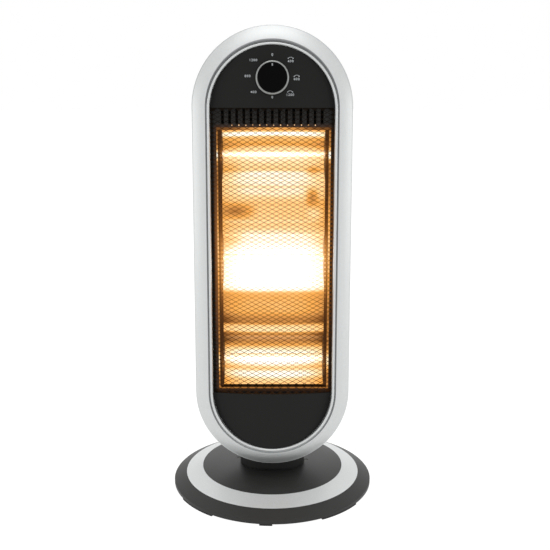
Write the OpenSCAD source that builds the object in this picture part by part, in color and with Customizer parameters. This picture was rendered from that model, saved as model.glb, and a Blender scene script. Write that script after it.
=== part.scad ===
// Free-standing halogen heater: a leaning stadium-shaped head with three quartz tubes,
// on a round base inside which a small motor swings the head from side to side.
// Millimetres. +Z is up, the front faces -Y, and the origin is the centre of the base on the floor.
// Head pieces are drawn in the head's own frame (x right, y back, z up the head, with z = 0 at the
// centre of the lower arc) and set in place by head_frame().

/* [Head] */
// Half the width of the head, the radius of its two round ends
head_r = 102.4; // [95:0.1:115]
// Distance between the centres of the two round ends
arc_span = 373.5; // [360:0.5:420]
// Lean of the head backwards, in degrees
head_lean = 2.5; // [0:0.5:4]
// How far the front plane stands before the swing axis, at the lower arc
face_set = 60; // [56:0.5:64]
// Gap between the base's flat middle and the head's lowest point
head_gap = 22.6; // [20:0.1:30]
// Depth of the front frame's side wall
frame_depth = 30; // [24:1:34]
// Depth of the back face behind the front plane
back_y = 96; // [92:1:110]
// Radius of the rounded edge at the back
back_round = 22; // [14:1:24]
// Wall of the plastic shells
shell_t = 2.5; // [2:0.1:3]

/* [Front frame] */
// Width of the sloping silver band
band_w = 17.3; // [14:0.1:20]
// How far the band rises forwards from its outer to its inner edge
band_rise = 7; // [4:0.5:9]
// Crown of the band above a straight slope
band_crown = 0.8; // [0:0.1:1.5]
// Small radius on the frame's outer front edge
band_edge_r = 1.2; // [0.6:0.1:2]
// Width of the groove between the band and the bead
groove_w = 1.8; // [1:0.1:3]
// Depth of that groove
groove_d = 2.4; // [1:0.1:3]
// Width of the round bead beside the black insert
bead_w = 4; // [2.5:0.1:5]
// How far the insert's upper arc is centred below the frame's
insert_drop = 2; // [0:0.1:2.1]

/* [Insert] */
// Thickness of the control panel and of the lower panel
panel_t = 2.5; // [2:0.1:3]
// How far the middle of the insert stands before its sides
insert_bow = 10; // [4:0.5:11]
// How far the middle of the insert stands before the front plane
insert_front = 6; // [4:0.5:7]
// Gap round the insert's pieces
insert_gap = 0.3; // [0.1:0.1:0.6]
// Thickness of the carrier ring behind the panels
carrier_t = 2; // [1.5:0.1:2.2]
// Width of the carrier's ledge
carrier_w = 3.4; // [2.6:0.1:4]

/* [Guard] */
// Thickness of the guard's sheet
mesh_t = 1.2; // [0.8:0.1:2]
// Plain border round the guard
mesh_border = 3; // [2:0.5:5]
// Width of the strands between the gaps
mesh_strand = 1.6; // [1:0.1:2.5]
// Columns of gaps in a full row
mesh_columns = 6; // [4:1:6]
// Full rows of gaps
mesh_rows = 27; // [20:1:27]

/* [Window plate] */
// Thickness of the steel plate behind the guard
plate_t = 1.2; // [1:0.1:2]
// Gap between the plate and the sides of the carrier ring
plate_gap = 0.5; // [0.3:0.1:3]
// Width of the plate's strip beside the window
window_side = 5.8; // [4:0.1:9]
// How far the window and the heating unit stand to the right of the middle
window_x = 1.75; // [0:0.05:2]
// Bottom of the window above the lower arc's centre
window_z = 1; // [0.5:0.5:8]
// Top of the window below the upper arc's centre
window_top_gap = 24.3; // [22:0.1:30]
// Number of ventilation slots above the window
slot_count = 15; // [9:2:17]
// Distance between slots
slot_pitch = 9.1; // [8:0.1:9.4]
// Width of a slot
slot_w = 3.5; // [2:0.1:5]
// Height of a slot
slot_h = 19.8; // [12:0.1:21]

/* [Heating tubes] */
// Distance of the lowest tube from the window's lower edge
tube_edge = 39; // [34:0.5:40]
// Depth of the tubes behind the reflector's webs
tube_set = 15; // [12:0.5:18]
// Outer diameter of a quartz tube
tube_d = 10; // [8:0.5:12]
// Wall of a quartz tube
tube_wall = 1; // [0.8:0.1:1.5]
// Diameter of a filament
filament_d = 2.4; // [1:0.1:3]
// Diameter of a ceramic cap
cap_d = 15; // [14:0.5:17]

/* [Reflector] */
// Distance of each end plate inside the window's edge
end_gap = 6.7; // [5:0.1:12]
// Thickness of the reflector and of its end plates
sheet_t = 0.8; // [0.6:0.1:1.2]
// Depth of the reflector's flat webs behind the window plate
web_gap = 3.8; // [3:0.1:8]
// Distance of the lowest trough from the window's lower edge
trough_edge = 5.5; // [3:0.5:8]
// Depth of a trough
trough_depth = 30; // [26:0.5:32]
// Width of the end plates' front flange
flange_w = 3.7; // [2:0.1:5]
// Depth of the heat shield behind the window plate
shield_depth = 52; // [48:1:56]

/* [Knob] */
// Height of the knob above the upper arc's centre
knob_rise = 37.3; // [34:0.1:46]
// Radius of the black knob
knob_r = 18.6; // [14:0.1:20]
// Width of the silver ring round it
knob_ring_w = 2.4; // [2:0.1:5]
// How far the knob stands before the control panel
knob_h = 18; // [14:0.5:24]
// Diameter of the switch's shaft
shaft_d = 6; // [5:0.5:8]
// Radial running clearance of shafts
running_gap = 0.05; // [0.02:0.01:0.09]

/* [Base] */
// Radius of the base
base_r = 140; // [136:1:160]
// Height of the top of the base's rim above the base plate
rim_h = 2.5; // [2.4:0.1:4]
// Height of the feet under the base
foot_h = 2.5; // [2.4:0.1:5]
// Width of the black slope outside the silver ring
slope_w = 17.5; // [16:0.5:22]
// Width of the silver ring
ring_w = 23.2; // [18:0.1:28]
// Height of the silver ring's outer edge
ring_out_z = 15.8; // [15:0.1:16.5]
// Height of the silver ring's inner edge
ring_in_z = 24; // [23.5:0.1:25]
// Thickness of the silver ring, measured upwards
ring_t = 1.6; // [1:0.1:2]
// Height of the flat middle of the base
base_top = 30; // [29:0.1:33]
// Distance of the two screws beside the neck from the swing axis
neck_screw_r = 48.7; // [48:0.1:52]
// Flat left outside those two screws
flat_margin = 5.3; // [5:0.1:10]
// Thickness of the steel base plate
base_plate_t = 2; // [1.5:0.1:3]
// Thickness of the steel ballast ring
ballast_t = 5; // [3:0.5:8]
// Turn of the two screws beside the neck, clockwise from above, in degrees
screw_turn = 4.5; // [0:0.5:10]
// Span of a wide foot, in degrees
foot_wide = 26.5; // [20:0.5:32]
// Span of a narrow foot, in degrees
foot_narrow = 7; // [5:0.5:10]
// Turn of the feet, clockwise from above, in degrees
foot_turn = 3.5; // [0:0.5:10]

/* [Neck and swing] */
// Half the width of the neck
neck_half_w = 45.3; // [40:0.1:46]
// How far the neck reaches before the swing axis
neck_front = 37; // [34:0.5:38]
// How far the neck reaches behind the swing axis
neck_back = 28; // [26:0.5:29]
// Corner radius of the neck
neck_corner_r = 31; // [10:0.5:32]
// Radius of the neck's spigot, on which the head swings
spigot_r = 22; // [20:0.5:23]
// Radius of the wire duct through the neck
duct_r = 12; // [9:0.5:13]
// Thickness of the washer under the neck
washer_t = 0.55; // [0.4:0.05:1.5]
// Distance between the swing axis and the motor's axis
crank_offset = 20; // [19:0.5:21]
// Radius at which the crank pin turns
crank_r = 11.5; // [11:0.1:12]
// Diameter of the crank pin
crank_pin_d = 4; // [3:0.1:4.4]
// Clearance of the crank pin in its slot, each side
crank_pin_gap = 0.8; // [0.8:0.1:1]
// Diameter of the swing motor
motor_d = 50; // [44:1:50]

/* [Hidden] */
$fn = 64;

black = [0.13, 0.13, 0.12];
silver = [0.8, 0.81, 0.81];
steel = [0.62, 0.63, 0.65];
eps = 0.01;
far = 400;

// Screws: radii of shanks and heads, heights of heads, lengths of shanks
case_shank_r = 1.6;
case_pilot_r = case_shank_r + 0.05;
case_hole_r = case_shank_r + 0.2;
cover_top_r = 2.4;
cover_top_h = 1.1;
cover_screw_l = 11;
cover_recess_r = 2.8;
cover_recess = 1.4;
rim_top_r = 3.4;
rim_top_h = 1.8;
rim_screw_l = 8;
motor_top_r = 3;
motor_top_h = 1.8;
motor_screw_l = 8;
lever_top_r = 2.8;
lever_top_h = 1.5;
lever_bite = 5;
plate_shank_r = 1.45;
plate_pilot_r = plate_shank_r + 0.05;
plate_hole_r = plate_shank_r + 0.25;
plate_top_r = 2.8;
plate_top_h = 1.8;
plate_bite = 7;
housing_shank_r = 1.85;
housing_pilot_r = housing_shank_r + 0.1;
housing_hole_r = housing_shank_r + 0.35;
housing_top_r = 3.8;
housing_top_h = 2.4;
housing_bite = 14;
neck_shank_r = 2;
neck_pilot_r = neck_shank_r + 0.05;
neck_hole_r = neck_shank_r + 0.2;
neck_screw_l = 20;

// Front frame and insert
band_in_r = head_r - band_w;
bead_r = bead_w / 2;
bead_out_r = band_in_r - groove_w;
insert_r = bead_out_r - bead_w;
insert_span = arc_span - insert_drop;
bead_y = bead_r - band_rise - 0.3;
inner_r = head_r - shell_t;
piece_r = insert_r - insert_gap;
bow_r = (insert_r * insert_r + insert_bow * insert_bow) / (2 * insert_bow);
bow_y = bow_r - insert_front;
panel_back_r = bow_r - panel_t;
mesh_low = -2.4;
mesh_high = arc_span;

// Window plate and heating unit
plate_y = insert_bow - insert_front + panel_t + carrier_t + plate_gap;
plate_back = plate_y + plate_t;
plate_half_w = insert_r + shell_t + 0.8;
plate_over = 12;
slot_rise = 4.1;
window_half_w = insert_r - window_side;
window_top = arc_span - window_top_gap;
window_h = window_top - window_z;
tube_z = window_z + tube_edge;
unit_rise = 3.8;
tube_pitch = (window_h - 2 * tube_edge + unit_rise) / 2;
reflector_half_w = window_half_w - end_gap;
web_y = plate_back + web_gap;
tube_y = web_y + tube_set;
trough_half_h = tube_edge - trough_edge;
shield_half_w = window_half_w + 3.5;
shield_lip = shield_half_w - reflector_half_w - sheet_t - flange_w + 0.3;
shield_back = plate_back + shield_depth;
shield_margin = 3.5;
shield_over = 1.6;
reflector_low = tube_z - trough_half_h;
reflector_high = tube_z + 2 * tube_pitch + trough_half_h;
trough_r = (trough_half_h * trough_half_h + trough_depth * trough_depth) / (2 * trough_depth);
end_y = plate_back + 1.8;
end_out = reflector_half_w + sheet_t;
cap_len = shield_half_w - sheet_t - end_out;
socket_depth = cap_len - 1.7;
tube_half_len = end_out + socket_depth - 0.5;
filament_half_len = reflector_half_w - 7;

// Places of the screws, in the head's frame
long_boss_r = 4.5;
long_boss_y = 44;
short_boss_r = 4.5;
boss_track = head_r - 11.4;
plate_ear_x = head_r - 13.9;
ear_r = short_boss_r + 0.6;
boss_start = -2.6;
short_boss_start = -3.4;
long_places = [
    for (sx = [-1, 1])
        for (p = [
            [boss_track, arc_span * 0.16],
            [boss_track, arc_span * 0.84],
            [boss_track * cos(45), -boss_track * sin(45)],
            [boss_track * cos(45), arc_span + boss_track * sin(45)]
        ])
            [sx * p[0], p[1]]
];
short_places = [for (sx = [-1, 1]) for (f = [0.33, 0.67]) [sx * plate_ear_x, arc_span * f]];
well_r = 6;
well_hole_r = 4.3;
well_floor = 2.5;

// Base
plate_low = foot_h;
plate_high = foot_h + base_plate_t;
rim_z = plate_high + rim_h;
ring_out_r = base_r - slope_w;
ring_in_r = ring_out_r - ring_w;
base_flat_r = neck_screw_r + flat_margin;
base_wall_t = 2.5;
base_plate_r = base_r - base_wall_t - 0.3;
cover_under = base_top - base_wall_t;
collar_low = cover_under - 2.4;
collar_r = spigot_r + running_gap + 3.4;
neck_low = base_top + washer_t + running_gap;
washer_in_r = spigot_r + 2;
washer_out_r = spigot_r + 5;
head_low = base_top + head_gap;
arc_z = head_low + head_r;
lever_t = 2;
lever_high = collar_low - 0.1;
lever_low = lever_high - lever_t;
lever_r = spigot_r + 8;
crank_high = lever_low - 2;
crank_t = 2.2;
crank_low = crank_high - crank_t;
crank_disc_r = crank_r + 3.5;
motor_high = crank_low - 0.6;
motor_boss_h = 0.8;
motor_ear_x = motor_d / 2 + 4;
motor_ear_high = motor_high - 3.4;
motor_ear_t = 1.2;
motor_ear_r = 4.5;
motor_post_r = 3.6;
motor_boss_r = 8;
motor_shaft_r = 3.5;
motor_shaft_low = plate_high + 5.6;
slot_half_w = crank_pin_d / 2 + crank_pin_gap;
neck_post_r = 4.5;
ballast_in_r = 60;
ballast_out_r = ring_out_r - 6.5;
rim_screw_r = base_r - 16;
rim_post_r = 4;
rim_hole_r = case_shank_r + 0.5;
rim_screw_places = [for (i = [0:3]) 45 + 90 * i];
foot_in_r = base_r - 12;
foot_out_r = base_r - 0.5;

// Tip-over switch
tip_y = 36;
tip_half_w = 12;
tip_half_d = 9;
tip_travel = 5;
plunger_r = 4;
plunger_flange_r = 6.5;
plunger_flange_t = 1.4;
plunger_flange_low = plate_high + tip_travel + 0.2;
plunger_flange_high = plunger_flange_low + plunger_flange_t;
spring_high = plunger_flange_high + 5.6;
plunger_stem_r = 2;
tip_cavity_r = 7;

// Neck, and the neck screws in the head's frame
neck_reach = 23.4;
neck_pad_z = -(head_r - 12.4);
neck_screw_x = 24;
neck_screw_front = face_set - 12;
neck_screw_back = face_set + 14;
neck_pad_margin = 10;
neck_screw_places = [
    for (x = [-neck_screw_x, neck_screw_x])
        for (y = [neck_screw_front, neck_screw_back])
            [x, y]
];

// Parts inside the back of the head
cutout_x = 40;
cutout_drop = 20;
cutout_r = 8.5;
cutout_h = 8;
cutout_rim = 1;
terminal_w = 48;
terminal_d = 15;
terminal_h = 18;
terminal_z = -15;
terminal_hole_r = 2.2;

// Knob and switch
knob_z = arc_span + knob_rise;
knob_ring_r = knob_r + knob_ring_w;
knob_seat_r = knob_ring_r + 2.6;
knob_base = insert_front + 0.8;
knob_face = insert_front + knob_h;
knob_flange_t = 1.4;
knob_round = 1.6;
knob_flat_r = knob_r - knob_round;
ring_round = 1.6;
pointer_w = 1.6;
pointer_l = 3;
pointer_t = 0.3;
pointer_end = 0.2;
pointer_low = knob_z + knob_flat_r - pointer_end - pointer_l;
knob_nut_r = 8;
knob_nut_h = 4.5;
bush_r = 5;
bush_front = insert_front + 1.2;
switch_flat_y = -1;
switch_depth = 21;
switch_half_w = 17;
switch_half_h = 20;
shaft_back = 10;
shaft_bite = 4;

// ---------------------------------------------------------------- helpers

module head_frame() {
    translate([0, -face_set, arc_z])
        rotate([-head_lean, 0, 0])
            children();
}

// Points of an arc in the plane, from angle a to angle b in n steps
function arc(c, r, a, b, n) =
    [for (i = [0:n]) let (t = a + (b - a) * i / n) [c[0] + r * cos(t), c[1] + r * sin(t)]];

// A stadium outline, in the head's x and z
module stadium(r, span = arc_span) {
    circle(r, $fn = 128);
    translate([0, span])
        circle(r, $fn = 128);
    translate([-r, 0])
        square([2 * r, span]);
}

// Turns a flat outline in x and z into a solid between two depths
module between(y0, y1) {
    translate([0, y1, 0])
        rotate([90, 0, 0])
            linear_extrude(y1 - y0)
                children();
}

// Turns a section, drawn as radius and depth, half way round the lower or the upper arc
module half_turn(up, span = arc_span) {
    translate([0, 0, up * span])
        rotate([-90, 0, 0])
            rotate([0, 0, 180 * up])
                rotate_extrude(angle = 180, $fn = 128)
                    children();
}

// Sweeps such a section round a stadium
module stadium_sweep(span = arc_span) {
    for (up = [0, 1])
        half_turn(up, span)
            children();
    for (side = [0, 1])
        mirror([side, 0, 0])
            linear_extrude(span)
                children();
}

// A rod along y from depth y0 to depth y1
module rod_y(r, y0, y1) {
    translate([0, y1, 0])
        rotate([90, 0, 0])
            cylinder(r = r, h = y1 - y0);
}

// A rod along x from x0 to x1
module rod_x(r, x0, x1) {
    translate([x0, 0, 0])
        rotate([0, 90, 0])
            cylinder(r = r, h = x1 - x0);
}

// Solid behind a bowed surface of radius r
module bow_solid(r) {
    translate([0, bow_y, -far / 2])
        cylinder(r = r, h = arc_span + far, $fn = 200);
}

// Bowed sheet between two radii, cut to an outline in x and z
module bowed(r_front, r_back) {
    difference() {
        intersection() {
            between(-insert_front - 5, plate_y + 10)
                children();
            bow_solid(r_front);
        }
        bow_solid(r_back);
    }
}

// The round end of the insert above the guard
module upper_end() {
    intersection() {
        translate([0, insert_span])
            circle(piece_r, $fn = 128);
        translate([-piece_r - 1, mesh_high + insert_gap])
            square([2 * piece_r + 2, piece_r + 1]);
    }
}

// The round end of the insert below the guard
module lower_end() {
    intersection() {
        circle(piece_r, $fn = 128);
        translate([-piece_r - 1, mesh_low - insert_gap - piece_r - 1])
            square([2 * piece_r + 2, piece_r + 1]);
    }
}

// Pan-head screw along z, its head upwards from z = 0 and its shank downwards
module screw(shank_r, shank_l, top_r, top_h) {
    translate([0, 0, -shank_l])
        cylinder(r = shank_r, h = shank_l + eps);
    difference() {
        cylinder(r = top_r, h = top_h);
        for (turn = [0, 90])
            rotate([0, 0, turn])
                translate([-top_r * 0.6, -0.35, top_h / 2])
                    cube([top_r * 1.2, 0.7, top_h]);
    }
}

module screw_y(shank_r, shank_l, top_r, top_h) {
    rotate([-90, 0, 0])
        screw(shank_r, shank_l, top_r, top_h);
}

// ---------------------------------------------------------------- base

// Height of the base's dome inside the silver ring
function dome(r) =
    r < base_flat_r ? base_top
    : base_top - (base_top - ring_in_z) * pow((r - base_flat_r) / (ring_in_r - base_flat_r), 2);

dome_steps = 8;
dome_radii = [for (i = [0:dome_steps]) ring_in_r + (base_flat_r - ring_in_r) * i / dome_steps];

cover_section = concat(
    [[base_r - base_wall_t, foot_h], [base_r, foot_h], [base_r, rim_z - 0.4], [base_r - 0.5, rim_z + 0.2]],
    [[ring_out_r, ring_out_z], [ring_out_r, ring_out_z - ring_t], [ring_in_r, ring_in_z - ring_t]],
    [for (r = dome_radii) [r, dome(r)]],
    [[0, base_top], [0, cover_under]],
    [for (i = [dome_steps:-1:1]) [dome_radii[i], dome(dome_radii[i]) - base_wall_t]],
    [[ring_in_r, ring_in_z - ring_t - base_wall_t], [ring_out_r, ring_out_z - ring_t - base_wall_t]],
    [[base_r - base_wall_t, rim_z - base_wall_t + 0.2]]
);

module at_neck_screws() {
    for (side = [0, 180])
        rotate([0, 0, side - screw_turn])
            translate([neck_screw_r, 0, 0])
                children();
}

module at_rim_screws() {
    for (a = rim_screw_places)
        rotate([0, 0, a])
            translate([rim_screw_r, 0, 0])
                children();
}

module base_cover() {
    color(black)
        difference() {
            union() {
                rotate_extrude($fn = 128)
                    polygon(cover_section);
                translate([0, 0, collar_low])
                    cylinder(r = collar_r, h = base_top - collar_low);
                at_rim_screws()
                    translate([0, 0, plate_high])
                        cylinder(r = rim_post_r, h = ring_out_z - ring_t - base_wall_t + 0.8 - plate_high);
            }
            translate([0, 0, collar_low - 1])
                cylinder(r = spigot_r + running_gap, h = base_top);
            at_neck_screws() {
                translate([0, 0, cover_under - 1])
                    cylinder(r = case_hole_r, h = base_wall_t + 2);
                translate([0, 0, base_top - cover_recess])
                    cylinder(r = cover_recess_r, h = cover_recess + 1);
            }
            at_rim_screws()
                translate([0, 0, plate_high - 1])
                    cylinder(r = case_pilot_r, h = rim_screw_l);
        }
}

module base_ring() {
    color(silver)
        rotate_extrude($fn = 128)
            polygon([
                [ring_out_r, ring_out_z - ring_t], [ring_out_r, ring_out_z],
                [ring_in_r, ring_in_z], [ring_in_r, ring_in_z - ring_t]
            ]);
}

module base_plate() {
    color(steel)
        difference() {
            union() {
                translate([0, 0, plate_low])
                    cylinder(r = base_plate_r, h = base_plate_t, $fn = 128);
                for (x = [-motor_ear_x, motor_ear_x])
                    translate([x, -crank_offset, plate_low])
                        cylinder(r = motor_post_r, h = motor_ear_high - plate_low);
                at_neck_screws()
                    translate([0, 0, plate_low])
                        cylinder(r = neck_post_r, h = cover_under - plate_low);
            }
            for (x = [-motor_ear_x, motor_ear_x])
                translate([x, -crank_offset, plate_high + 1])
                    cylinder(r = case_pilot_r, h = motor_ear_high);
            at_neck_screws()
                translate([0, 0, cover_under - cover_screw_l - 1])
                    cylinder(r = case_pilot_r, h = cover_screw_l + 2);
            at_rim_screws()
                translate([0, 0, plate_low - 1])
                    cylinder(r = rim_hole_r, h = base_plate_t + 2);
            translate([0, tip_y, plate_low - 1])
                cylinder(r = plunger_r + 0.3, h = base_plate_t + 2);
        }
}

// A foot under the rim, centred on an angle counted from the front and spanning some degrees
module foot(centre, span) {
    rotate([0, 0, centre - 90 - span / 2])
        rotate_extrude(angle = span, $fn = 128)
            translate([foot_in_r, 0])
                square([foot_out_r - foot_in_r, foot_h]);
}

module foot_pads() {
    color([0.16, 0.16, 0.16])
        for (a = [-135, -45, 45, 135])
            foot(a - foot_turn, foot_wide);
}

module foot_tabs() {
    color([0.16, 0.16, 0.16])
        for (a = [0, 180])
            foot(a - foot_turn, foot_narrow);
}

module ballast_ring() {
    color(steel)
        translate([0, 0, plate_high])
            difference() {
                cylinder(r = ballast_out_r, h = ballast_t, $fn = 128);
                translate([0, 0, -1])
                    cylinder(r = ballast_in_r, h = ballast_t + 2, $fn = 128);
            }
}

module swing_motor() {
    color([0.72, 0.72, 0.7])
        translate([0, -crank_offset, 0])
            difference() {
                union() {
                    translate([0, 0, plate_high])
                        cylinder(r = motor_d / 2, h = motor_high - motor_boss_h - plate_high);
                    translate([0, 0, motor_high - motor_boss_h - 1])
                        cylinder(r = motor_boss_r, h = motor_boss_h + 1);
                    translate([-motor_ear_x, -motor_ear_r, motor_ear_high])
                        cube([2 * motor_ear_x, 2 * motor_ear_r, motor_ear_t]);
                    for (x = [-motor_ear_x, motor_ear_x])
                        translate([x, 0, motor_ear_high])
                            cylinder(r = motor_ear_r, h = motor_ear_t);
                }
                translate([0, 0, motor_shaft_low - 0.1])
                    cylinder(r = motor_shaft_r + running_gap, h = motor_high);
                for (x = [-motor_ear_x, motor_ear_x])
                    translate([x, 0, motor_ear_high - 1])
                        cylinder(r = case_hole_r, h = motor_ear_t + 2);
            }
}

module motor_screws() {
    color(steel)
        for (x = [-motor_ear_x, motor_ear_x])
            translate([x, -crank_offset, motor_ear_high + motor_ear_t])
                screw(case_shank_r, motor_screw_l, motor_top_r, motor_top_h);
}

module wear_washer() {
    color("white")
        translate([0, 0, base_top])
            difference() {
                cylinder(r = washer_out_r, h = washer_t);
                translate([0, 0, -1])
                    cylinder(r = washer_in_r, h = washer_t + 2);
            }
}

module cover_screws() {
    color(steel)
        at_neck_screws()
            translate([0, 0, base_top - cover_recess])
                screw(case_shank_r, cover_screw_l, cover_top_r, cover_top_h);
}

module base_screws() {
    color(steel)
        at_rim_screws()
            translate([0, 0, plate_low])
                rotate([180, 0, 0])
                    screw(case_shank_r, rim_screw_l, rim_top_r, rim_top_h);
}

module tip_switch() {
    color([0.25, 0.25, 0.27])
        translate([0, tip_y, 0])
            difference() {
                translate([-tip_half_w, -tip_half_d, plate_high])
                    cube([2 * tip_half_w, 2 * tip_half_d, lever_low - 2 - plate_high]);
                translate([0, 0, plate_high - 1])
                    cylinder(r = tip_cavity_r, h = spring_high - plate_high + 1);
                translate([0, 0, spring_high - 1])
                    cylinder(r = plunger_stem_r + 0.3, h = 4);
            }
}

module plunger_spring() {
    color(steel)
        translate([0, tip_y, plunger_flange_high])
            difference() {
                cylinder(r = plunger_flange_r - 0.8, h = spring_high - plunger_flange_high);
                translate([0, 0, -1])
                    cylinder(r = plunger_flange_r - 1.8, h = spring_high);
            }
}

module tip_plunger() {
    color("white")
        translate([0, tip_y, 0]) {
            cylinder(r = plunger_r, h = plunger_flange_low);
            translate([0, 0, plunger_flange_low])
                cylinder(r = plunger_flange_r, h = plunger_flange_t);
            translate([0, 0, plunger_flange_high])
                cylinder(r = plunger_stem_r, h = spring_high + 1.5 - plunger_flange_high);
        }
}

// ---------------------------------------------------------------- crank

module crank_disc() {
    color("white")
        translate([0, -crank_offset, 0])
            difference() {
                union() {
                    translate([0, 0, crank_low])
                        cylinder(r = crank_disc_r, h = crank_t);
                    translate([0, 0, motor_shaft_low])
                        cylinder(r = motor_shaft_r, h = crank_high - motor_shaft_low);
                }
                translate([0, -crank_r, crank_low - 1])
                    cylinder(r = crank_pin_d / 2 + 0.02, h = crank_t + 2);
            }
}

module crank_pin() {
    color(steel)
        translate([0, -crank_offset - crank_r, crank_low])
            cylinder(r = crank_pin_d / 2, h = lever_high - 0.2 - crank_low);
}

// ---------------------------------------------------------------- neck and swing

module rounded_rectangle(x0, x1, y0, y1, r) {
    translate([x0 + r, y0])
        square([x1 - x0 - 2 * r, y1 - y0]);
    translate([x0, y0 + r])
        square([x1 - x0, y1 - y0 - 2 * r]);
    for (x = [x0 + r, x1 - r])
        for (y = [y0 + r, y1 - r])
            translate([x, y])
                circle(r);
}

// Section of the head's back half, as radius and depth, drawn in from its outside by some wall
module back_section(wall) {
    round_r = back_round - wall;
    translate([0, frame_depth])
        square([head_r - back_round, back_y - wall - frame_depth]);
    translate([0, frame_depth])
        square([head_r - wall, back_y - back_round - frame_depth]);
    translate([head_r - back_round, back_y - back_round])
        circle(round_r, $fn = 96);
}

// The lower half of the head's round end, as a solid
module lower_end_solid() {
    half_turn(0) {
        square([head_r, frame_depth + eps]);
        back_section(0);
    }
}

module at_neck_pad() {
    for (p = neck_screw_places)
        translate([p[0], p[1], neck_pad_z])
            children();
}

module neck() {
    color(black)
        difference() {
            union() {
                translate([0, 0, neck_low])
                    linear_extrude(head_low + neck_reach - neck_low)
                        rounded_rectangle(-neck_half_w, neck_half_w, -neck_front, neck_back, neck_corner_r);
                translate([0, 0, lever_high])
                    cylinder(r = spigot_r, h = neck_low - lever_high + 1);
            }
            head_frame() {
                lower_end_solid();
                at_neck_pad()
                    translate([0, 0, -neck_screw_l - 1])
                        cylinder(r = neck_pilot_r, h = neck_screw_l + 10);
            }
            translate([0, 0, lever_high - 1])
                cylinder(r = duct_r, h = arc_z);
            at_lever_screws()
                translate([0, 0, lever_high - 1])
                    cylinder(r = case_pilot_r, h = lever_bite + 3);
        }
}

module at_lever_screws() {
    for (a = [90, 210, 330])
        rotate([0, 0, a])
            translate([(spigot_r + duct_r) / 2, 0, 0])
                children();
}

module swing_lever() {
    slot_near = crank_offset - 0.6;
    slot_far = crank_offset + crank_r + 0.8;
    arm_half_w = 8;
    color(steel)
        difference() {
            translate([0, 0, lever_low])
                union() {
                    cylinder(r = lever_r, h = lever_t);
                    translate([-arm_half_w, -slot_far - 1, 0])
                        cube([2 * arm_half_w, slot_far, lever_t]);
                    translate([0, -slot_far - 1, 0])
                        cylinder(r = arm_half_w, h = lever_t);
                }
            translate([0, 0, lever_low - 1]) {
                cylinder(r = duct_r, h = lever_t + 2);
                translate([-slot_half_w, -slot_far, 0])
                    cube([2 * slot_half_w, slot_far - slot_near, lever_t + 2]);
                for (y = [slot_near, slot_far])
                    translate([0, -y, 0])
                        cylinder(r = slot_half_w, h = lever_t + 2);
            }
            at_lever_screws()
                translate([0, 0, lever_low - 1])
                    cylinder(r = case_hole_r, h = lever_t + 2);
        }
}

module lever_screws() {
    color(steel)
        at_lever_screws()
            translate([0, 0, lever_low])
                rotate([180, 0, 0])
                    screw(case_shank_r, lever_t + lever_bite, lever_top_r, lever_top_h);
}

// ---------------------------------------------------------------- front of the head

band_steps = 6;
// Depth of the band's face at a fraction t of its width, counted from the outer edge
function band_y(t) = -band_rise * t - band_crown * 4 * t * (1 - t);

groove_floor = groove_d - band_rise;
groove_back = groove_floor + shell_t;
groove_out_r = band_in_r - 0.2;
// The band, one step wider than its face is anywhere, as the groove trims it
band_points = [for (i = [1:band_steps + 1]) let (t = i / band_steps)
    [head_r - band_edge_r - (band_w - band_edge_r) * t, band_y(t)]];
band_section = concat(
    [[head_r, frame_depth]],
    arc([head_r - band_edge_r, band_edge_r], band_edge_r, 0, -90, 3),
    band_points,
    [[band_points[band_steps][0], groove_back - 1.8]],
    [[inner_r, shell_t - 0.7], [inner_r, frame_depth]]
);
// The groove's floor, the bead and the wall beside the insert
bead_section = concat(
    [[band_in_r + 1, groove_floor], [bead_out_r + 0.4, groove_floor]],
    arc([bead_out_r - bead_r, bead_y], bead_r, 0, -180, 10),
    [[insert_r, plate_y], [insert_r + shell_t, plate_y], [insert_r + shell_t, groove_back]],
    [[band_in_r + 1, groove_back - 0.8]]
);

module front_frame() {
    color(silver)
        head_frame()
            difference() {
                union() {
                    difference() {
                        stadium_sweep()
                            polygon(band_section);
                        between(-insert_front - band_rise, plate_y)
                            stadium(groove_out_r, insert_span);
                    }
                    stadium_sweep(insert_span)
                        polygon(bead_section);
                    for (p = long_places)
                        translate([p[0], 0, p[1]])
                            rod_y(long_boss_r, boss_start, long_boss_y);
                    for (p = short_places)
                        translate([p[0], 0, p[1]])
                            rod_y(short_boss_r, short_boss_start, plate_y);
                }
                for (p = long_places)
                    translate([p[0], 0, p[1]])
                        rod_y(housing_pilot_r, long_boss_y - housing_bite - 2, long_boss_y + 1);
                for (p = short_places)
                    translate([p[0], 0, p[1]])
                        rod_y(plate_pilot_r, plate_y - plate_bite - 2, plate_y + 1);
            }
}

module insert_carrier() {
    wall_in_r = piece_r - 2.2;
    color(black)
        head_frame() {
            bowed(panel_back_r, panel_back_r - carrier_t)
                difference() {
                    stadium(piece_r, insert_span);
                    stadium(piece_r - carrier_w, insert_span);
                }
            intersection() {
                between(-insert_front, plate_y)
                    difference() {
                        stadium(piece_r, insert_span);
                        stadium(wall_in_r, insert_span);
                    }
                bow_solid(panel_back_r);
            }
        }
}

module control_panel() {
    color(black)
        head_frame()
            difference() {
                union() {
                    bowed(bow_r, panel_back_r)
                        upper_end();
                    translate([0, 0, knob_z])
                        intersection() {
                            rod_y(knob_seat_r, -insert_front, switch_flat_y);
                            translate([0, 0, -knob_z])
                                bow_solid(bow_r);
                        }
                }
                translate([0, 0, knob_z])
                    rod_y(bush_r + 0.1, -insert_front - 2, switch_flat_y + 1);
            }
}

module lower_panel() {
    color([0.16, 0.16, 0.155])
        head_frame()
            bowed(bow_r, panel_back_r)
                lower_end();
}

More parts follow.
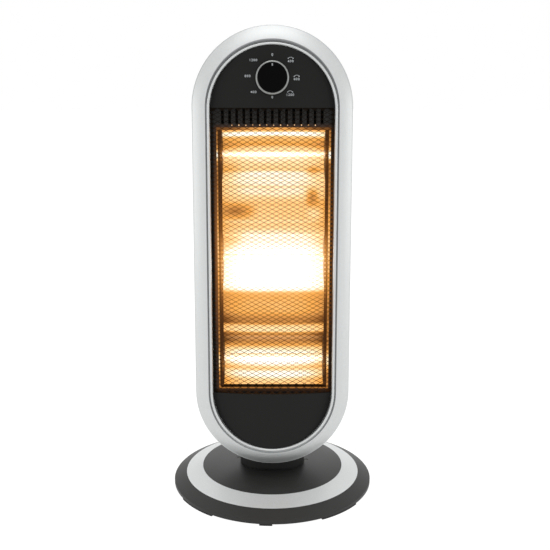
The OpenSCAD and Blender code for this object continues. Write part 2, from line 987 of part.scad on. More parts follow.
// Guard: one bowed sheet of diamond gaps
module guard_mesh() {
    wide = 2 * (piece_r - mesh_border);
    tall = mesh_high - mesh_low - 2 * mesh_border;
    cell_x = wide / mesh_columns;
    cell_z = tall / mesh_rows;
    // Cutting the strand's width from a diamond's sides takes this share of each half diagonal
    slant = norm([cell_x / 2, cell_z / 2]);
    kept = 1 - mesh_strand / 2 * slant / (cell_x / 2 * cell_z / 2);
    gap_x = cell_x / 2 * kept;
    gap_z = cell_z / 2 * kept;
    centres = [
        for (odd = [0, 1])
            for (row = [0:mesh_rows - 1 - odd])
                for (column = [0:mesh_columns - 1 - odd])
                    [
                        (column + 0.5 + odd / 2) * cell_x - wide / 2,
                        mesh_low + mesh_border + (row + 0.5 + odd / 2) * cell_z
                    ]
    ];
    rim = [[-piece_r, mesh_low], [piece_r, mesh_low], [piece_r, mesh_high], [-piece_r, mesh_high]];
    corners = [[-gap_x, 0], [0, -gap_z], [gap_x, 0], [0, gap_z]];
    gaps = [for (c = centres) for (k = corners) c + k];
    color([0.2, 0.17, 0.13])
        head_frame()
            bowed(panel_back_r + mesh_t, panel_back_r)
                polygon(
                    concat(rim, gaps),
                    concat([[0, 1, 2, 3]], [for (i = [0:len(centres) - 1]) [for (k = [0:3]) 4 + 4 * i + k]])
                );
}

module window_plate() {
    slot_z = window_top + slot_rise;
    color([0.15, 0.14, 0.13])
        head_frame()
            between(plate_y, plate_back)
                difference() {
                    union() {
                        translate([-plate_half_w, -plate_over])
                            square([2 * plate_half_w, arc_span + 2 * plate_over]);
                        for (p = short_places) {
                            translate([p[0], p[1]])
                                circle(ear_r);
                            translate([min(p[0], 0), p[1] - ear_r])
                                square([abs(p[0]), 2 * ear_r]);
                        }
                    }
                    translate([window_x - window_half_w, window_z])
                        square([2 * window_half_w, window_h]);
                    for (i = [0:slot_count - 1])
                        translate([(i - (slot_count - 1) / 2) * slot_pitch - slot_w / 2, slot_z])
                            square([slot_w, slot_h]);
                    for (p = short_places)
                        translate([p[0], p[1]])
                            circle(plate_hole_r);
                }
}

module plate_screws() {
    color(steel)
        head_frame()
            for (p = short_places)
                translate([p[0], plate_back, p[1]])
                    screw_y(plate_shank_r, plate_t + plate_bite, plate_top_r, plate_top_h);
}

// ---------------------------------------------------------------- heating unit

// The heating unit stands with the window, a little to the right of the middle
module unit_frame() {
    head_frame()
        translate([window_x, 0, 0])
            children();
}

module at_tube(i) {
    translate([0, tube_y, tube_z + i * tube_pitch])
        children();
}

module heat_shield() {
    low = window_z - shield_margin;
    high = window_top + shield_over;
    color([0.78, 0.78, 0.76])
        unit_frame()
            difference() {
                translate([-shield_half_w, plate_back, low])
                    cube([2 * shield_half_w, shield_depth, high - low]);
                translate([-shield_half_w + sheet_t, plate_back + sheet_t, low + sheet_t])
                    cube([
                        2 * (shield_half_w - sheet_t), shield_depth - 2 * sheet_t, high - low - 2 * sheet_t
                    ]);
                translate([-shield_half_w + shield_lip, plate_back - 1, low + shield_lip - 1])
                    cube([2 * (shield_half_w - shield_lip), sheet_t + 2, high - low - 2 * shield_lip + 2]);
                for (i = [0:2])
                    at_tube(i)
                        rod_x(2.5, -head_r, head_r);
            }
}

// Flat webs between three round troughs
module reflector() {
    centre_y = web_y + trough_depth - trough_r;
    color([0.85, 0.85, 0.83])
        unit_frame()
            rotate([90, 0, 90])
                translate([0, 0, -reflector_half_w])
                    linear_extrude(2 * reflector_half_w)
                        difference() {
                            union() {
                                translate([web_y, reflector_low])
                                    square([sheet_t, reflector_high - reflector_low]);
                                for (i = [0:2])
                                    intersection() {
                                        translate([centre_y, tube_z + i * tube_pitch])
                                            circle(trough_r + sheet_t, $fn = 96);
                                        translate([web_y, reflector_low - far / 2])
                                            square([far, reflector_high - reflector_low + far]);
                                    }
                            }
                            for (i = [0:2])
                                translate([centre_y, tube_z + i * tube_pitch])
                                    circle(trough_r, $fn = 96);
                        }
}

module reflector_end() {
    depth = shield_back - sheet_t - end_y;
    low = reflector_low - 2;
    tall = reflector_high - reflector_low + 4;
    difference() {
        union() {
            translate([reflector_half_w, end_y, low])
                cube([sheet_t, depth, tall]);
            translate([reflector_half_w, end_y, low])
                cube([flange_w, sheet_t, tall]);
        }
        for (i = [0:2])
            at_tube(i)
                rod_x(tube_d / 2 + 0.4, reflector_half_w - 1, end_out + 1);
    }
}

module reflector_end_left() {
    color([0.35, 0.31, 0.27])
        unit_frame()
            mirror([1, 0, 0])
                reflector_end();
}

module reflector_end_right() {
    color([0.35, 0.31, 0.27])
        unit_frame()
            reflector_end();
}

module quartz_tube(i) {
    color([1, 0.75, 0.4, 0.5])
        unit_frame()
            at_tube(i)
                difference() {
                    rod_x(tube_d / 2, -tube_half_len, tube_half_len);
                    rod_x(tube_d / 2 - tube_wall, -tube_half_len - 1, tube_half_len + 1);
                }
}

module filament(i) {
    color([1, 0.6, 0.2])
        unit_frame()
            at_tube(i) {
                rod_x(filament_d / 2, -filament_half_len, filament_half_len);
                rod_x(0.6, -end_out - socket_depth, end_out + socket_depth);
            }
}

module tube_lower() { quartz_tube(0); }
module tube_middle() { quartz_tube(1); }
module tube_upper() { quartz_tube(2); }
module filament_lower() { filament(0); }
module filament_middle() { filament(1); }
module filament_upper() { filament(2); }

module tube_caps() {
    color([0.9, 0.88, 0.82])
        unit_frame()
            for (i = [0:2])
                at_tube(i)
                    for (side = [0, 1])
                        mirror([side, 0, 0])
                            difference() {
                                rod_x(cap_d / 2, end_out, end_out + cap_len);
                                rod_x(tube_d / 2 + 0.1, end_out - 1, end_out + socket_depth);
                            }
}

module thermal_cutout() {
    color([0.3, 0.3, 0.32])
        unit_frame()
            translate([cutout_x, 0, window_top - cutout_drop]) {
                rod_y(cutout_r + 2.5, shield_back, shield_back + cutout_rim);
                rod_y(cutout_r, shield_back + cutout_rim, shield_back + cutout_rim + cutout_h);
            }
}

// ---------------------------------------------------------------- controls

module rotary_switch() {
    color([0.3, 0.3, 0.32])
        head_frame()
            translate([0, 0, knob_z])
                difference() {
                    union() {
                        translate([-switch_half_w, switch_flat_y, -switch_half_h])
                            cube([2 * switch_half_w, switch_depth, 2 * switch_half_h]);
                        rod_y(bush_r, -bush_front, 0);
                    }
                    rod_y(shaft_d / 2 + running_gap, -bush_front - 1, shaft_back + 0.1);
                }
}

module switch_shaft() {
    color(steel)
        head_frame()
            translate([0, 0, knob_z])
                rod_y(shaft_d / 2, -knob_face + shaft_bite, shaft_back);
}

module knob_cap() {
    color([0.03, 0.03, 0.03])
        head_frame()
            translate([0, 0, knob_z])
                difference() {
                    rotate([90, 0, 0])
                        rotate_extrude($fn = 96)
                            polygon(concat(
                                [[0, knob_base], [knob_ring_r - 0.8, knob_base]],
                                [[knob_ring_r - 0.8, knob_base + knob_flange_t]],
                                [[knob_r, knob_base + knob_flange_t]],
                                arc([knob_flat_r, knob_face - knob_round], knob_round, 0, 90, 5),
                                [[0, knob_face]]
                            ));
                    rod_y(knob_nut_r, -knob_base - knob_nut_h, -knob_base + 1);
                    rod_y(shaft_d / 2 + 0.03, -knob_face + shaft_bite - 0.1, 0);
                }
}

module knob_ring() {
    low = knob_base + knob_flange_t;
    color(silver)
        head_frame()
            translate([0, 0, knob_z])
                rotate([90, 0, 0])
                    rotate_extrude($fn = 96)
                        polygon(concat(
                            [[knob_r + 0.1, low], [knob_ring_r, low]],
                            arc([knob_ring_r - ring_round, low + 3], ring_round, 0, 90, 5),
                            [[knob_r + 0.1, low + 4.6]]
                        ));
}

module knob_pointer() {
    color("white")
        head_frame()
            translate([-pointer_w / 2, -knob_face - pointer_t, pointer_low])
                cube([pointer_w, pointer_t, pointer_l]);
}

// ---------------------------------------------------------------- back of the head

// The housing's wall; a small chamfer marks its seam with the front frame
module housing_section() {
    difference() {
        back_section(0);
        back_section(shell_t);
        translate([-1, frame_depth - 1])
            square([head_r - back_round + 1, back_y]);
        translate([head_r, frame_depth])
            rotate([0, 0, 45])
                square([1, 1], center = true);
    }
}

vent_w = 124;
vent_h = 4.5;
vent_pitch = 11;
upper_vents = [for (i = [0:8]) arc_span - 113.5 + i * vent_pitch];
lower_vents = [for (i = [0:5]) 22 + i * vent_pitch];

grip_z = arc_span + 34;
grip_half_w = 48;
grip_h = 30;
grip_depth = 24;
grip_wall = 2;

gland_z = -(head_r - 57.4);
gland_r = 7;
gland_lip = 2;
gland_bore_r = 3.7;

module long_slot(w, h) {
    translate([-w / 2 + h / 2, -h / 2])
        square([w - h, h]);
    for (x = [-w / 2 + h / 2, w / 2 - h / 2])
        translate([x, 0])
            circle(h / 2);
}

module rear_housing() {
    pad_margins = [neck_pad_margin, neck_pad_margin, 0];
    pad_size = [2 * neck_screw_x, neck_screw_back - neck_screw_front, neck_pad_z + head_r] + 2 * pad_margins;
    color([0.1, 0.1, 0.1])
        difference() {
            head_frame()
                difference() {
                    union() {
                        stadium_sweep()
                            housing_section();
                        between(back_y - shell_t, back_y)
                            stadium(head_r - back_round);
                        intersection() {
                            for (p = long_places)
                                translate([p[0], 0, p[1]])
                                    rod_y(well_r, long_boss_y, back_y);
                            stadium_solid();
                        }
                        translate([-grip_half_w - grip_wall, back_y - grip_depth - grip_wall, 0])
                            translate([0, 0, grip_z - grip_h / 2 - grip_wall])
                                cube([
                                    2 * (grip_half_w + grip_wall), grip_depth + grip_wall,
                                    grip_h + 2 * grip_wall
                                ]);
                        intersection() {
                            translate([-neck_screw_x, neck_screw_front, -head_r] - pad_margins)
                                cube(pad_size);
                            lower_end_solid();
                        }
                    }
                    for (p = long_places)
                        translate([p[0], 0, p[1]]) {
                            rod_y(housing_hole_r, long_boss_y - 1, back_y);
                            rod_y(well_hole_r, long_boss_y + well_floor, back_y + 1);
                        }
                    for (z = concat(upper_vents, lower_vents))
                        translate([0, 0, z])
                            between(back_y - shell_t - 1, back_y + 1)
                                long_slot(vent_w, vent_h);
                    translate([-grip_half_w, back_y - grip_depth, grip_z - grip_h / 2])
                        cube([2 * grip_half_w, grip_depth + 1, grip_h]);
                    translate([0, 0, gland_z])
                        rod_y(gland_r + 0.1, back_y - shell_t - 1, back_y + 1);
                    at_neck_pad()
                        translate([0, 0, -neck_screw_l])
                            cylinder(r = neck_hole_r, h = neck_screw_l + 10);
                }
            cylinder(r = duct_r, h = arc_z);
        }
}

// Solid inside the housing's outer skin, which trims the screw wells
module stadium_solid() {
    stadium_sweep()
        back_section(0);
}

module housing_screws() {
    color(steel)
        head_frame()
            for (p = long_places)
                translate([p[0], long_boss_y + well_floor, p[1]])
                    screw_y(housing_shank_r, well_floor + housing_bite, housing_top_r, housing_top_h);
}

module neck_screws() {
    color(steel)
        head_frame()
            at_neck_pad()
                screw(neck_shank_r, neck_screw_l, housing_top_r, housing_top_h);
}

module cord_gland() {
    color([0.12, 0.12, 0.12])
        head_frame()
            translate([0, 0, gland_z])
                difference() {
                    union() {
                        rod_y(gland_r, back_y - shell_t - 6.5, back_y);
                        rod_y(gland_r + gland_lip, back_y, back_y + gland_lip);
                        rod_y(gland_r + gland_lip, back_y - shell_t - gland_lip, back_y - shell_t);
                    }
                    rod_y(gland_bore_r, back_y - shell_t - 7.5, back_y + gland_lip + 1);
                }
}

module terminal_block() {
    color([0.85, 0.84, 0.8])
        head_frame()
            difference() {
                translate([-terminal_w / 2, back_y - shell_t - terminal_d, terminal_z - terminal_h / 2])
                    cube([terminal_w, terminal_d, terminal_h]);
                for (i = [-1:1])
                    translate([i * terminal_w / 3, 0, terminal_z])
                        rod_y(terminal_hole_r, back_y - shell_t - terminal_d - 1, back_y - shell_t - 9);
            }
}

// ---------------------------------------------------------------- assembly

base_cover();
base_ring();
base_plate();
foot_pads();
foot_tabs();
ballast_ring();
swing_motor();
motor_screws();
wear_washer();
cover_screws();
base_screws();
tip_switch();
plunger_spring();
tip_plunger();
crank_disc();
crank_pin();
neck();
swing_lever();
lever_screws();
front_frame();
insert_carrier();
control_panel();
lower_panel();
guard_mesh();
window_plate();
plate_screws();
heat_shield();
reflector();
reflector_end_left();
reflector_end_right();
tube_lower();
tube_middle();
tube_upper();
filament_lower();
filament_middle();
filament_upper();
tube_caps();
rotary_switch();
thermal_cutout();
terminal_block();
rear_housing();
housing_screws();
neck_screws();
cord_gland();
knob_cap();
knob_ring();
knob_pointer();
switch_shaft();
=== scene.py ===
"""Looks of a free-standing halogen heater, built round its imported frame.

Blender works in metres. The classes keep their sizes in millimetres and turn them with MM.
"""
import logging
import math
from collections.abc import Callable, Sequence
from dataclasses import dataclass, field
from enum import Enum
from typing import Any

import bmesh
import bpy
from mathutils import Matrix, Vector


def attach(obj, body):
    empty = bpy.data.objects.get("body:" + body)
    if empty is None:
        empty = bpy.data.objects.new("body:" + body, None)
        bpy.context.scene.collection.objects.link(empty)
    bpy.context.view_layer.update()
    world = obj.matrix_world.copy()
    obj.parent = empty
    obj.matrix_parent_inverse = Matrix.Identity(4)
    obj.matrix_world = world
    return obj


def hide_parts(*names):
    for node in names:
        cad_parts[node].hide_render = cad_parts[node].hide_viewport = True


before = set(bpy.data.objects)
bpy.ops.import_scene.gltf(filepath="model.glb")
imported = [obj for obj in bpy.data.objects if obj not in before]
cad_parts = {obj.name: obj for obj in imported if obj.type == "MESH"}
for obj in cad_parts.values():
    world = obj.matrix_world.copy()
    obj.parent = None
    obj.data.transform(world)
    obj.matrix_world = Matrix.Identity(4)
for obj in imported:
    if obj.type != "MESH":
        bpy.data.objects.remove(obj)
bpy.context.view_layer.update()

MM = 0.001
WHITE = (1.0, 1.0, 1.0, 1.0)
Node = bpy.types.Node
Socket = bpy.types.NodeSocket
Tree = bpy.types.NodeTree
Source = Node | Socket
# Soft hills, each with its middle, half width and height
Rows = tuple[tuple[float, float, float], ...]

log = logging.getLogger("heater")


# ---------------------------------------------------------------- small helpers


def linear(code: str, share: float = 1.0) -> tuple[float, float, float, float]:
    """Turns an sRGB hex colour into linear light.

    Args:
        code: six hex digits after a hash.
        share: how much of the light is kept, above 1 for a lighter tone.

    Returns:
        Red, green, blue and alpha, each from 0 to 1.
    """
    parts = [int(code[i:i + 2], 16) / 255 for i in (1, 3, 5)]
    low_end, offset, gain, power = 0.04045, 0.055, 12.92, 2.4
    light = [c / gain if c <= low_end else ((c + offset) / (1 + offset)) ** power for c in parts]
    red, green, blue = (min(1.0, c * share) for c in light)
    return (red, green, blue, 1.0)


def per_mm(size: float) -> float:
    """The scale of a pattern whose lumps measure that many millimetres."""
    return 1 / (size * MM)


def add_node(
    tree: Tree,
    kind: str,
    inputs: dict[str, Any] | tuple[Any, ...] = (),
    stops: Sequence[tuple[float, tuple[float, ...]]] = (),
    **settings: Any,
) -> Node:
    """Adds a shader node, sets its properties, and sets or links its inputs.

    Args:
        tree: the material's or the world's node tree.
        kind: the node's type name, without the "ShaderNode" that starts it.
        inputs: values, sockets or nodes, by the inputs' names or in their order. A node gives its
            first output that is in use.
        stops: a colour ramp's positions from 0 to 1, each with its linear colour.
        **settings: properties of the node.

    Returns:
        The new node.
    """
    node = tree.nodes.new("ShaderNode" + kind)
    for name, value in settings.items():
        setattr(node, name, value)
    for key, value in inputs.items() if isinstance(inputs, dict) else enumerate(inputs):
        if isinstance(value, Node):
            value = next(output for output in value.outputs if output.enabled)
        if isinstance(value, Socket):
            tree.links.new(value, node.inputs[key])
        else:
            node.inputs[key].default_value = value
    if stops:
        elements = node.color_ramp.elements
        elements.remove(elements[-1])
        elements[0].position, elements[0].color = stops[0]
        for place, colour in stops[1:]:
            elements.new(place).color = colour
    return node


def object_point(tree: Tree) -> Socket:
    """The point in the object's own coordinates, in metres."""
    return add_node(tree, "TexCoord").outputs["Object"]


def mesh_object(name: str, bm: bmesh.types.BMesh, smooth: bool = False) -> bpy.types.Object:
    """Turns a bmesh into an object at the origin.

    Args:
        name: the piece's name.
        bm: the finished mesh, which is freed.
        smooth: whether its faces are shaded smooth.

    Returns:
        The object, linked to the scene.
    """
    mesh = bpy.data.meshes.new(name)
    bm.to_mesh(mesh)
    bm.free()
    if smooth:
        mesh.shade_smooth()
    piece = bpy.data.objects.new(name, mesh)
    bpy.context.scene.collection.objects.link(piece)
    return piece


# ---------------------------------------------------------------- the head's own frame


@dataclass(frozen=True)
class HeadPlace:
    """Where the head's own frame stands: x right, y back and z up the head, in millimetres."""

    lean_deg: float = 2.5
    # How far its origin stands in front of the swing axis, and its height over the floor
    face_set: float = 60.0
    arc_z: float = 155.0
    # Depth of the axis that the panels and the guard are bowed round
    bow_y: float = 313.4
    # How far the window and the heating unit stand to the right of the middle
    unit_x: float = 1.75

    def matrix(self) -> Matrix:
        """The matrix from the head's millimetres to the scene's metres."""
        move = Matrix.Translation(Vector((0, -self.face_set, self.arc_z)) * MM)
        return move @ Matrix.Rotation(math.radians(-self.lean_deg), 4, "X") @ Matrix.Scale(MM, 4)

    def bow_depth(self, x: float, radius: float) -> float:
        """Depth of a bowed face of that radius at a distance x from the middle."""
        return self.bow_y - math.sqrt(radius * radius - x * x)


HEAD = HeadPlace()


def head_axes(tree: Tree) -> tuple[Socket, Socket, Socket]:
    """The point's x, y and z in the head's own frame, in millimetres.

    Args:
        tree: the material's node tree.

    Returns:
        The x, the y and the z.
    """
    place = {
        "Vector": object_point(tree),
        "Location": (0, -HEAD.face_set * MM, HEAD.arc_z * MM),
        "Rotation": (math.radians(-HEAD.lean_deg), 0, 0),
        "Scale": (MM, MM, MM),
    }
    local = add_node(tree, "Mapping", place, vector_type="TEXTURE")
    axes = add_node(tree, "SeparateXYZ", (local,)).outputs
    return axes["X"], axes["Y"], axes["Z"]


def unit_axes(tree: Tree) -> tuple[Node, Socket, Socket]:
    """The same, with x measured from the middle of the heating unit."""
    x, y, z = head_axes(tree)
    return add_node(tree, "Math", (x, HEAD.unit_x), operation="SUBTRACT"), y, z


def hill(tree: Tree, value: Source, middle: float, half_width: float, height: float = 1.0) -> Node:
    """A soft hill: its full height where the value is at the middle, and 0 beyond the half width.

    Args:
        tree: the material's node tree.
        value: the height or distance that it stands along.
        middle: where it is highest.
        half_width: how far it reaches on either side.
        height: how high it is, or how deep with a minus.

    Returns:
        The hill's height at the point.
    """
    offset = add_node(tree, "Math", (value, middle), operation="SUBTRACT")
    away = add_node(tree, "Math", (offset,), operation="ABSOLUTE")
    fall = (away, 0.0, half_width, height, 0.0)
    return add_node(tree, "MapRange", fall, interpolation_type="SMOOTHSTEP")


def hills(tree: Tree, value: Source, base: Source | float, rows: Rows) -> Source | float:
    """Sets a row of soft hills on a base level.

    Args:
        tree: the material's node tree.
        value: the height or distance that they stand along.
        base: the level where there is no hill.
        rows: each hill's middle, half width and height.

    Returns:
        The level, with its hills.
    """
    level = base
    for row in rows:
        level = add_node(tree, "Math", (hill(tree, value, *row), level), operation="ADD")
    return level


def spine_distance(tree: Tree, x: Source, z: Source, span: float) -> Node:
    """Distance in millimetres from the head's straight spine, which runs from 0 up to the span.

    Args:
        tree: the material's node tree.
        x: how far the point is to the right of the spine.
        z: its height up the head.
        span: the height at which the spine ends.

    Returns:
        The distance at the point.
    """
    above = add_node(tree, "Math", (z, 0.0), operation="MAXIMUM")
    nearest = add_node(tree, "Math", (above, span), operation="MINIMUM")
    rise = add_node(tree, "Math", (z, nearest), operation="SUBTRACT")
    squared = add_node(tree, "Math", (rise, rise), operation="MULTIPLY")
    squares = add_node(tree, "Math", (x, x, squared), operation="MULTIPLY_ADD")
    return add_node(tree, "Math", (squares,), operation="SQRT")


# ---------------------------------------------------------------- finishes


@dataclass(frozen=True)
class Finish:
    """A material that is built once and put on every piece that has it."""

    name: str

    def paint(self, tree: Tree) -> dict[str, Any]:
        """The principled shader's inputs, by name. Each finish has its own.

        Args:
            tree: the material's node tree, to which the finish adds its nodes.

        Returns:
            The inputs, each with its value, socket or node.
        """
        raise NotImplementedError

    def material(self) -> bpy.types.Material:
        """Builds the material, or returns it if it was built before.

        Returns:
            The material.
        """
        made = bpy.data.materials.get(self.name)
        if made is None:
            made = bpy.data.materials.new(self.name)
            made.use_nodes = True
            tree = made.node_tree
            tree.nodes.clear()
            shader = add_node(tree, "BsdfPrincipled", self.paint(tree))
            add_node(tree, "OutputMaterial", {"Surface": shader})
        return made


@dataclass(frozen=True)
class MouldedPlastic(Finish):
    """ABS moulded in a spark-eroded tool: a fine even grain that breaks up every highlight."""

    colour: str = "#1c1c1b"
    roughness: float = 0.45
    grain_mm: float = 0.7
    grain_depth_mm: float = 0.05
    grain_strength: float = 0.35
    shine: float = 0.5
    # Slow change of gloss and tone from one part of a moulding to the next
    sweep_mm: float = 60.0
    sweep_gloss: float = 0.05
    sweep_tone: float = 1.25

    def paint(self, tree: Tree) -> dict[str, Any]:
        """Gives the grain, a slow change of gloss and a faint change of tone.

        Args:
            tree: the material's node tree.

        Returns:
            The principled shader's inputs, by name.
        """
        point = object_point(tree)
        fine = {"Vector": point, "Scale": per_mm(self.grain_mm), "Detail": 3.0}
        slow = {"Vector": point, "Scale": per_mm(self.sweep_mm), "Detail": 1.0}
        sweep = add_node(tree, "TexNoise", slow)
        tones = {"Factor": sweep, "A": linear(self.colour), "B": linear(self.colour, self.sweep_tone)}
        relief = {
            "Height": add_node(tree, "TexNoise", fine),
            "Strength": self.grain_strength,
            "Distance": self.grain_depth_mm * MM,
        }
        gloss = (sweep, 0.0, 1.0, self.roughness - self.sweep_gloss, self.roughness + self.sweep_gloss)
        return {
            "Base Color": add_node(tree, "Mix", tones, data_type="RGBA"),
            "Roughness": add_node(tree, "MapRange", gloss),
            "Normal": add_node(tree, "Bump", relief),
            "Specular IOR Level": self.shine,
        }


@dataclass(frozen=True)
class SilverLacquer(Finish):
    """Metallic lacquer on ABS: aluminium flakes under a thin clear coat, so it shines softly."""

    colour: str = "#ced0d0"
    roughness: float = 0.42
    metallic: float = 0.85
    # Real flakes are about 0.03 mm, too fine to show; these are as coarse as they need to be
    flake_mm: float = 0.5
    flake_depth_mm: float = 0.05
    flake_strength: float = 0.04
    flake_gloss: float = 0.04
    flake_tone: float = 0.9
    coat: float = 0.25
    coat_roughness: float = 0.12
    # Colour that painted shade in a groove or on an edge darkens the lacquer to
    painted_shade_colour: str = "#7c7e7f"

    def painted_shade(self, tree: Tree) -> Node | None:
        """How much painted shade darkens the lacquer at a point, from 0 to 1, or None where there is none.
        """
        return None

    def paint(self, tree: Tree) -> dict[str, Any]:
        """Scatters flakes that tilt the normal and change the tone a little.

        Args:
            tree: the material's node tree.

        Returns:
            The principled shader's inputs, by name.
        """
        cells = add_node(tree, "TexVoronoi", {"Vector": object_point(tree), "Scale": per_mm(self.flake_mm)})
        tilt = add_node(tree, "SeparateColor", (cells.outputs["Color"],))
        tones = {"Factor": tilt, "A": linear(self.colour, self.flake_tone), "B": linear(self.colour)}
        tone = add_node(tree, "Mix", tones, data_type="RGBA")
        # Painted shade, where the finish has any, darkens the flaked tone
        painted_shade = self.painted_shade(tree)
        if painted_shade is not None:
            tones = {"Factor": painted_shade, "A": tone, "B": linear(self.painted_shade_colour)}
            tone = add_node(tree, "Mix", tones, data_type="RGBA")
        relief = {"Height": tilt, "Strength": self.flake_strength, "Distance": self.flake_depth_mm * MM}
        gloss = (tilt, 0.0, 1.0, self.roughness - self.flake_gloss, self.roughness + self.flake_gloss)
        return {
            "Base Color": tone,
            "Roughness": add_node(tree, "MapRange", gloss),
            "Normal": add_node(tree, "Bump", relief),
            "Metallic": self.metallic,
            "Coat Weight": self.coat,
            "Coat Roughness": self.coat_roughness,
        }


@dataclass(frozen=True)
class GroovedLacquer(SilverLacquer):
    """The same lacquer on the front frame, with painted shade in the groove and on the top of the outer
    edge.
    """

    # Radius and span of the groove's edge at the bead and at the band
    bead_edge: tuple[float, float] = (83.9, 371.5)
    band_edge: tuple[float, float] = (85.1, 373.5)
    blur: float = 0.5
    # The painted groove shade fades out towards the groove's foot, where only this share of it is left
    foot_shade_share: float = 0.25
    foot_z: tuple[float, float] = (-85.0, -25.0)
    # Painted shade on the frame's outer edge too, but only at the top
    rim_r: float = 101.4
    rim_shade_share: float = 0.3
    rim_z: tuple[float, float] = (330.0, 430.0)

    def painted_shade(self, tree: Tree) -> Node | None:
        """Paints shade into the groove between the bead and the band, and onto the top of the outer edge.

        Args:
            tree: the material's node tree.

        Returns:
            How much painted shade there is at the point, from 0 to 1.
        """
        x, _, z = head_axes(tree)
        bead_r, bead_span = self.bead_edge
        band_r, band_span = self.band_edge
        from_bead = spine_distance(tree, x, z, bead_span)
        from_band = spine_distance(tree, x, z, band_span)
        past_bead = add_node(tree, "MapRange", (from_bead, bead_r - self.blur, bead_r))
        before_band = add_node(tree, "MapRange", (from_band, band_r - self.blur, band_r, 1.0, 0.0))
        foot = add_node(tree, "MapRange", (z, *self.foot_z, self.foot_shade_share, 1.0))
        groove = add_node(tree, "Math", (past_bead, before_band), operation="MULTIPLY")
        groove = add_node(tree, "Math", (groove, foot), operation="MULTIPLY")
        rim = add_node(tree, "MapRange", (from_band, self.rim_r - self.blur, self.rim_r))
        top = add_node(tree, "MapRange", (z, *self.rim_z, 0.0, self.rim_shade_share))
        return add_node(tree, "Math", (rim, top, groove), operation="MULTIPLY_ADD")


@dataclass(frozen=True)
class SheetMetal(Finish):
    """Rolled or plated sheet: faint rolling lines along one axis, with a soft metallic shine."""

    colour: str = "#a9abab"
    roughness: float = 0.35
    metallic: float = 1.0
    line_mm: float = 0.4
    line_depth_mm: float = 0.03
    line_strength: float = 0.15
    line_gloss: float = 0.07
    stretch: tuple[float, float, float] = (0.02, 1.0, 1.0)
    stain_mm: float = 25.0
    stain_tone: float = 0.78
    shine: float = 0.5

    def paint(self, tree: Tree) -> dict[str, Any]:
        """Draws long thin streaks and a slow change of tone over them.

        Args:
            tree: the material's node tree.

        Returns:
            The principled shader's inputs, by name.
        """
        point = object_point(tree)
        lines = add_node(tree, "Mapping", {"Vector": point, "Scale": self.stretch})
        streaks = add_node(tree, "TexNoise", {"Vector": lines, "Scale": per_mm(self.line_mm)})
        slow = {"Vector": point, "Scale": per_mm(self.stain_mm), "Detail": 3.0}
        tones = {
            "Factor": add_node(tree, "TexNoise", slow),
            "A": linear(self.colour, self.stain_tone),
            "B": linear(self.colour),
        }
        relief = {"Height": streaks, "Strength": self.line_strength, "Distance": self.line_depth_mm * MM}
        gloss = (streaks, 0.0, 1.0, self.roughness - self.line_gloss, self.roughness + self.line_gloss)
        return {
            "Base Color": add_node(tree, "Mix", tones, data_type="RGBA"),
            "Roughness": add_node(tree, "MapRange", gloss),
            "Normal": add_node(tree, "Bump", relief),
            "Metallic": self.metallic,
            "Specular IOR Level": self.shine,
        }


@dataclass(frozen=True)
class PaintedLight:
    """How the light painted on the metal looks, from a dull brown to white, by a level of 0 to 1."""

    # Level, colour and brightness
    steps: tuple[tuple[float, str, float], ...] = (
        (0.0, "#ff9a3a", 0.0),
        (0.15, "#ff9f45", 0.20),
        (0.3, "#ffae58", 0.66),
        (0.45, "#ffb155", 1.00),
        (0.6, "#ffc883", 1.17),
        (0.7, "#ffd99f", 1.20),
        (0.8, "#fff4dd", 1.26),
        (0.9, "#fffbf3", 1.5),
        (1.0, "#ffffff", 3.5),
    )

    def light(self, tree: Tree, level: Source) -> dict[str, Any]:
        """The principled shader's emission inputs for a level from 0 to 1.

        Args:
            tree: the material's node tree.
            level: how much light is painted there.

        Returns:
            The emission's colour and strength, by the inputs' names.
        """
        brightest = max(power for _, _, power in self.steps)
        colours = [(at, linear(colour)) for at, colour, _ in self.steps]
        shares = [(at, (power / brightest,) * 3 + (1.0,)) for at, _, power in self.steps]
        share = add_node(tree, "ValToRGB", (level,), shares)
        return {
            "Emission Color": add_node(tree, "ValToRGB", (level,), colours),
            "Emission Strength": add_node(tree, "Math", (share, brightest), operation="MULTIPLY"),
        }


PAINTED_LIGHT = PaintedLight()


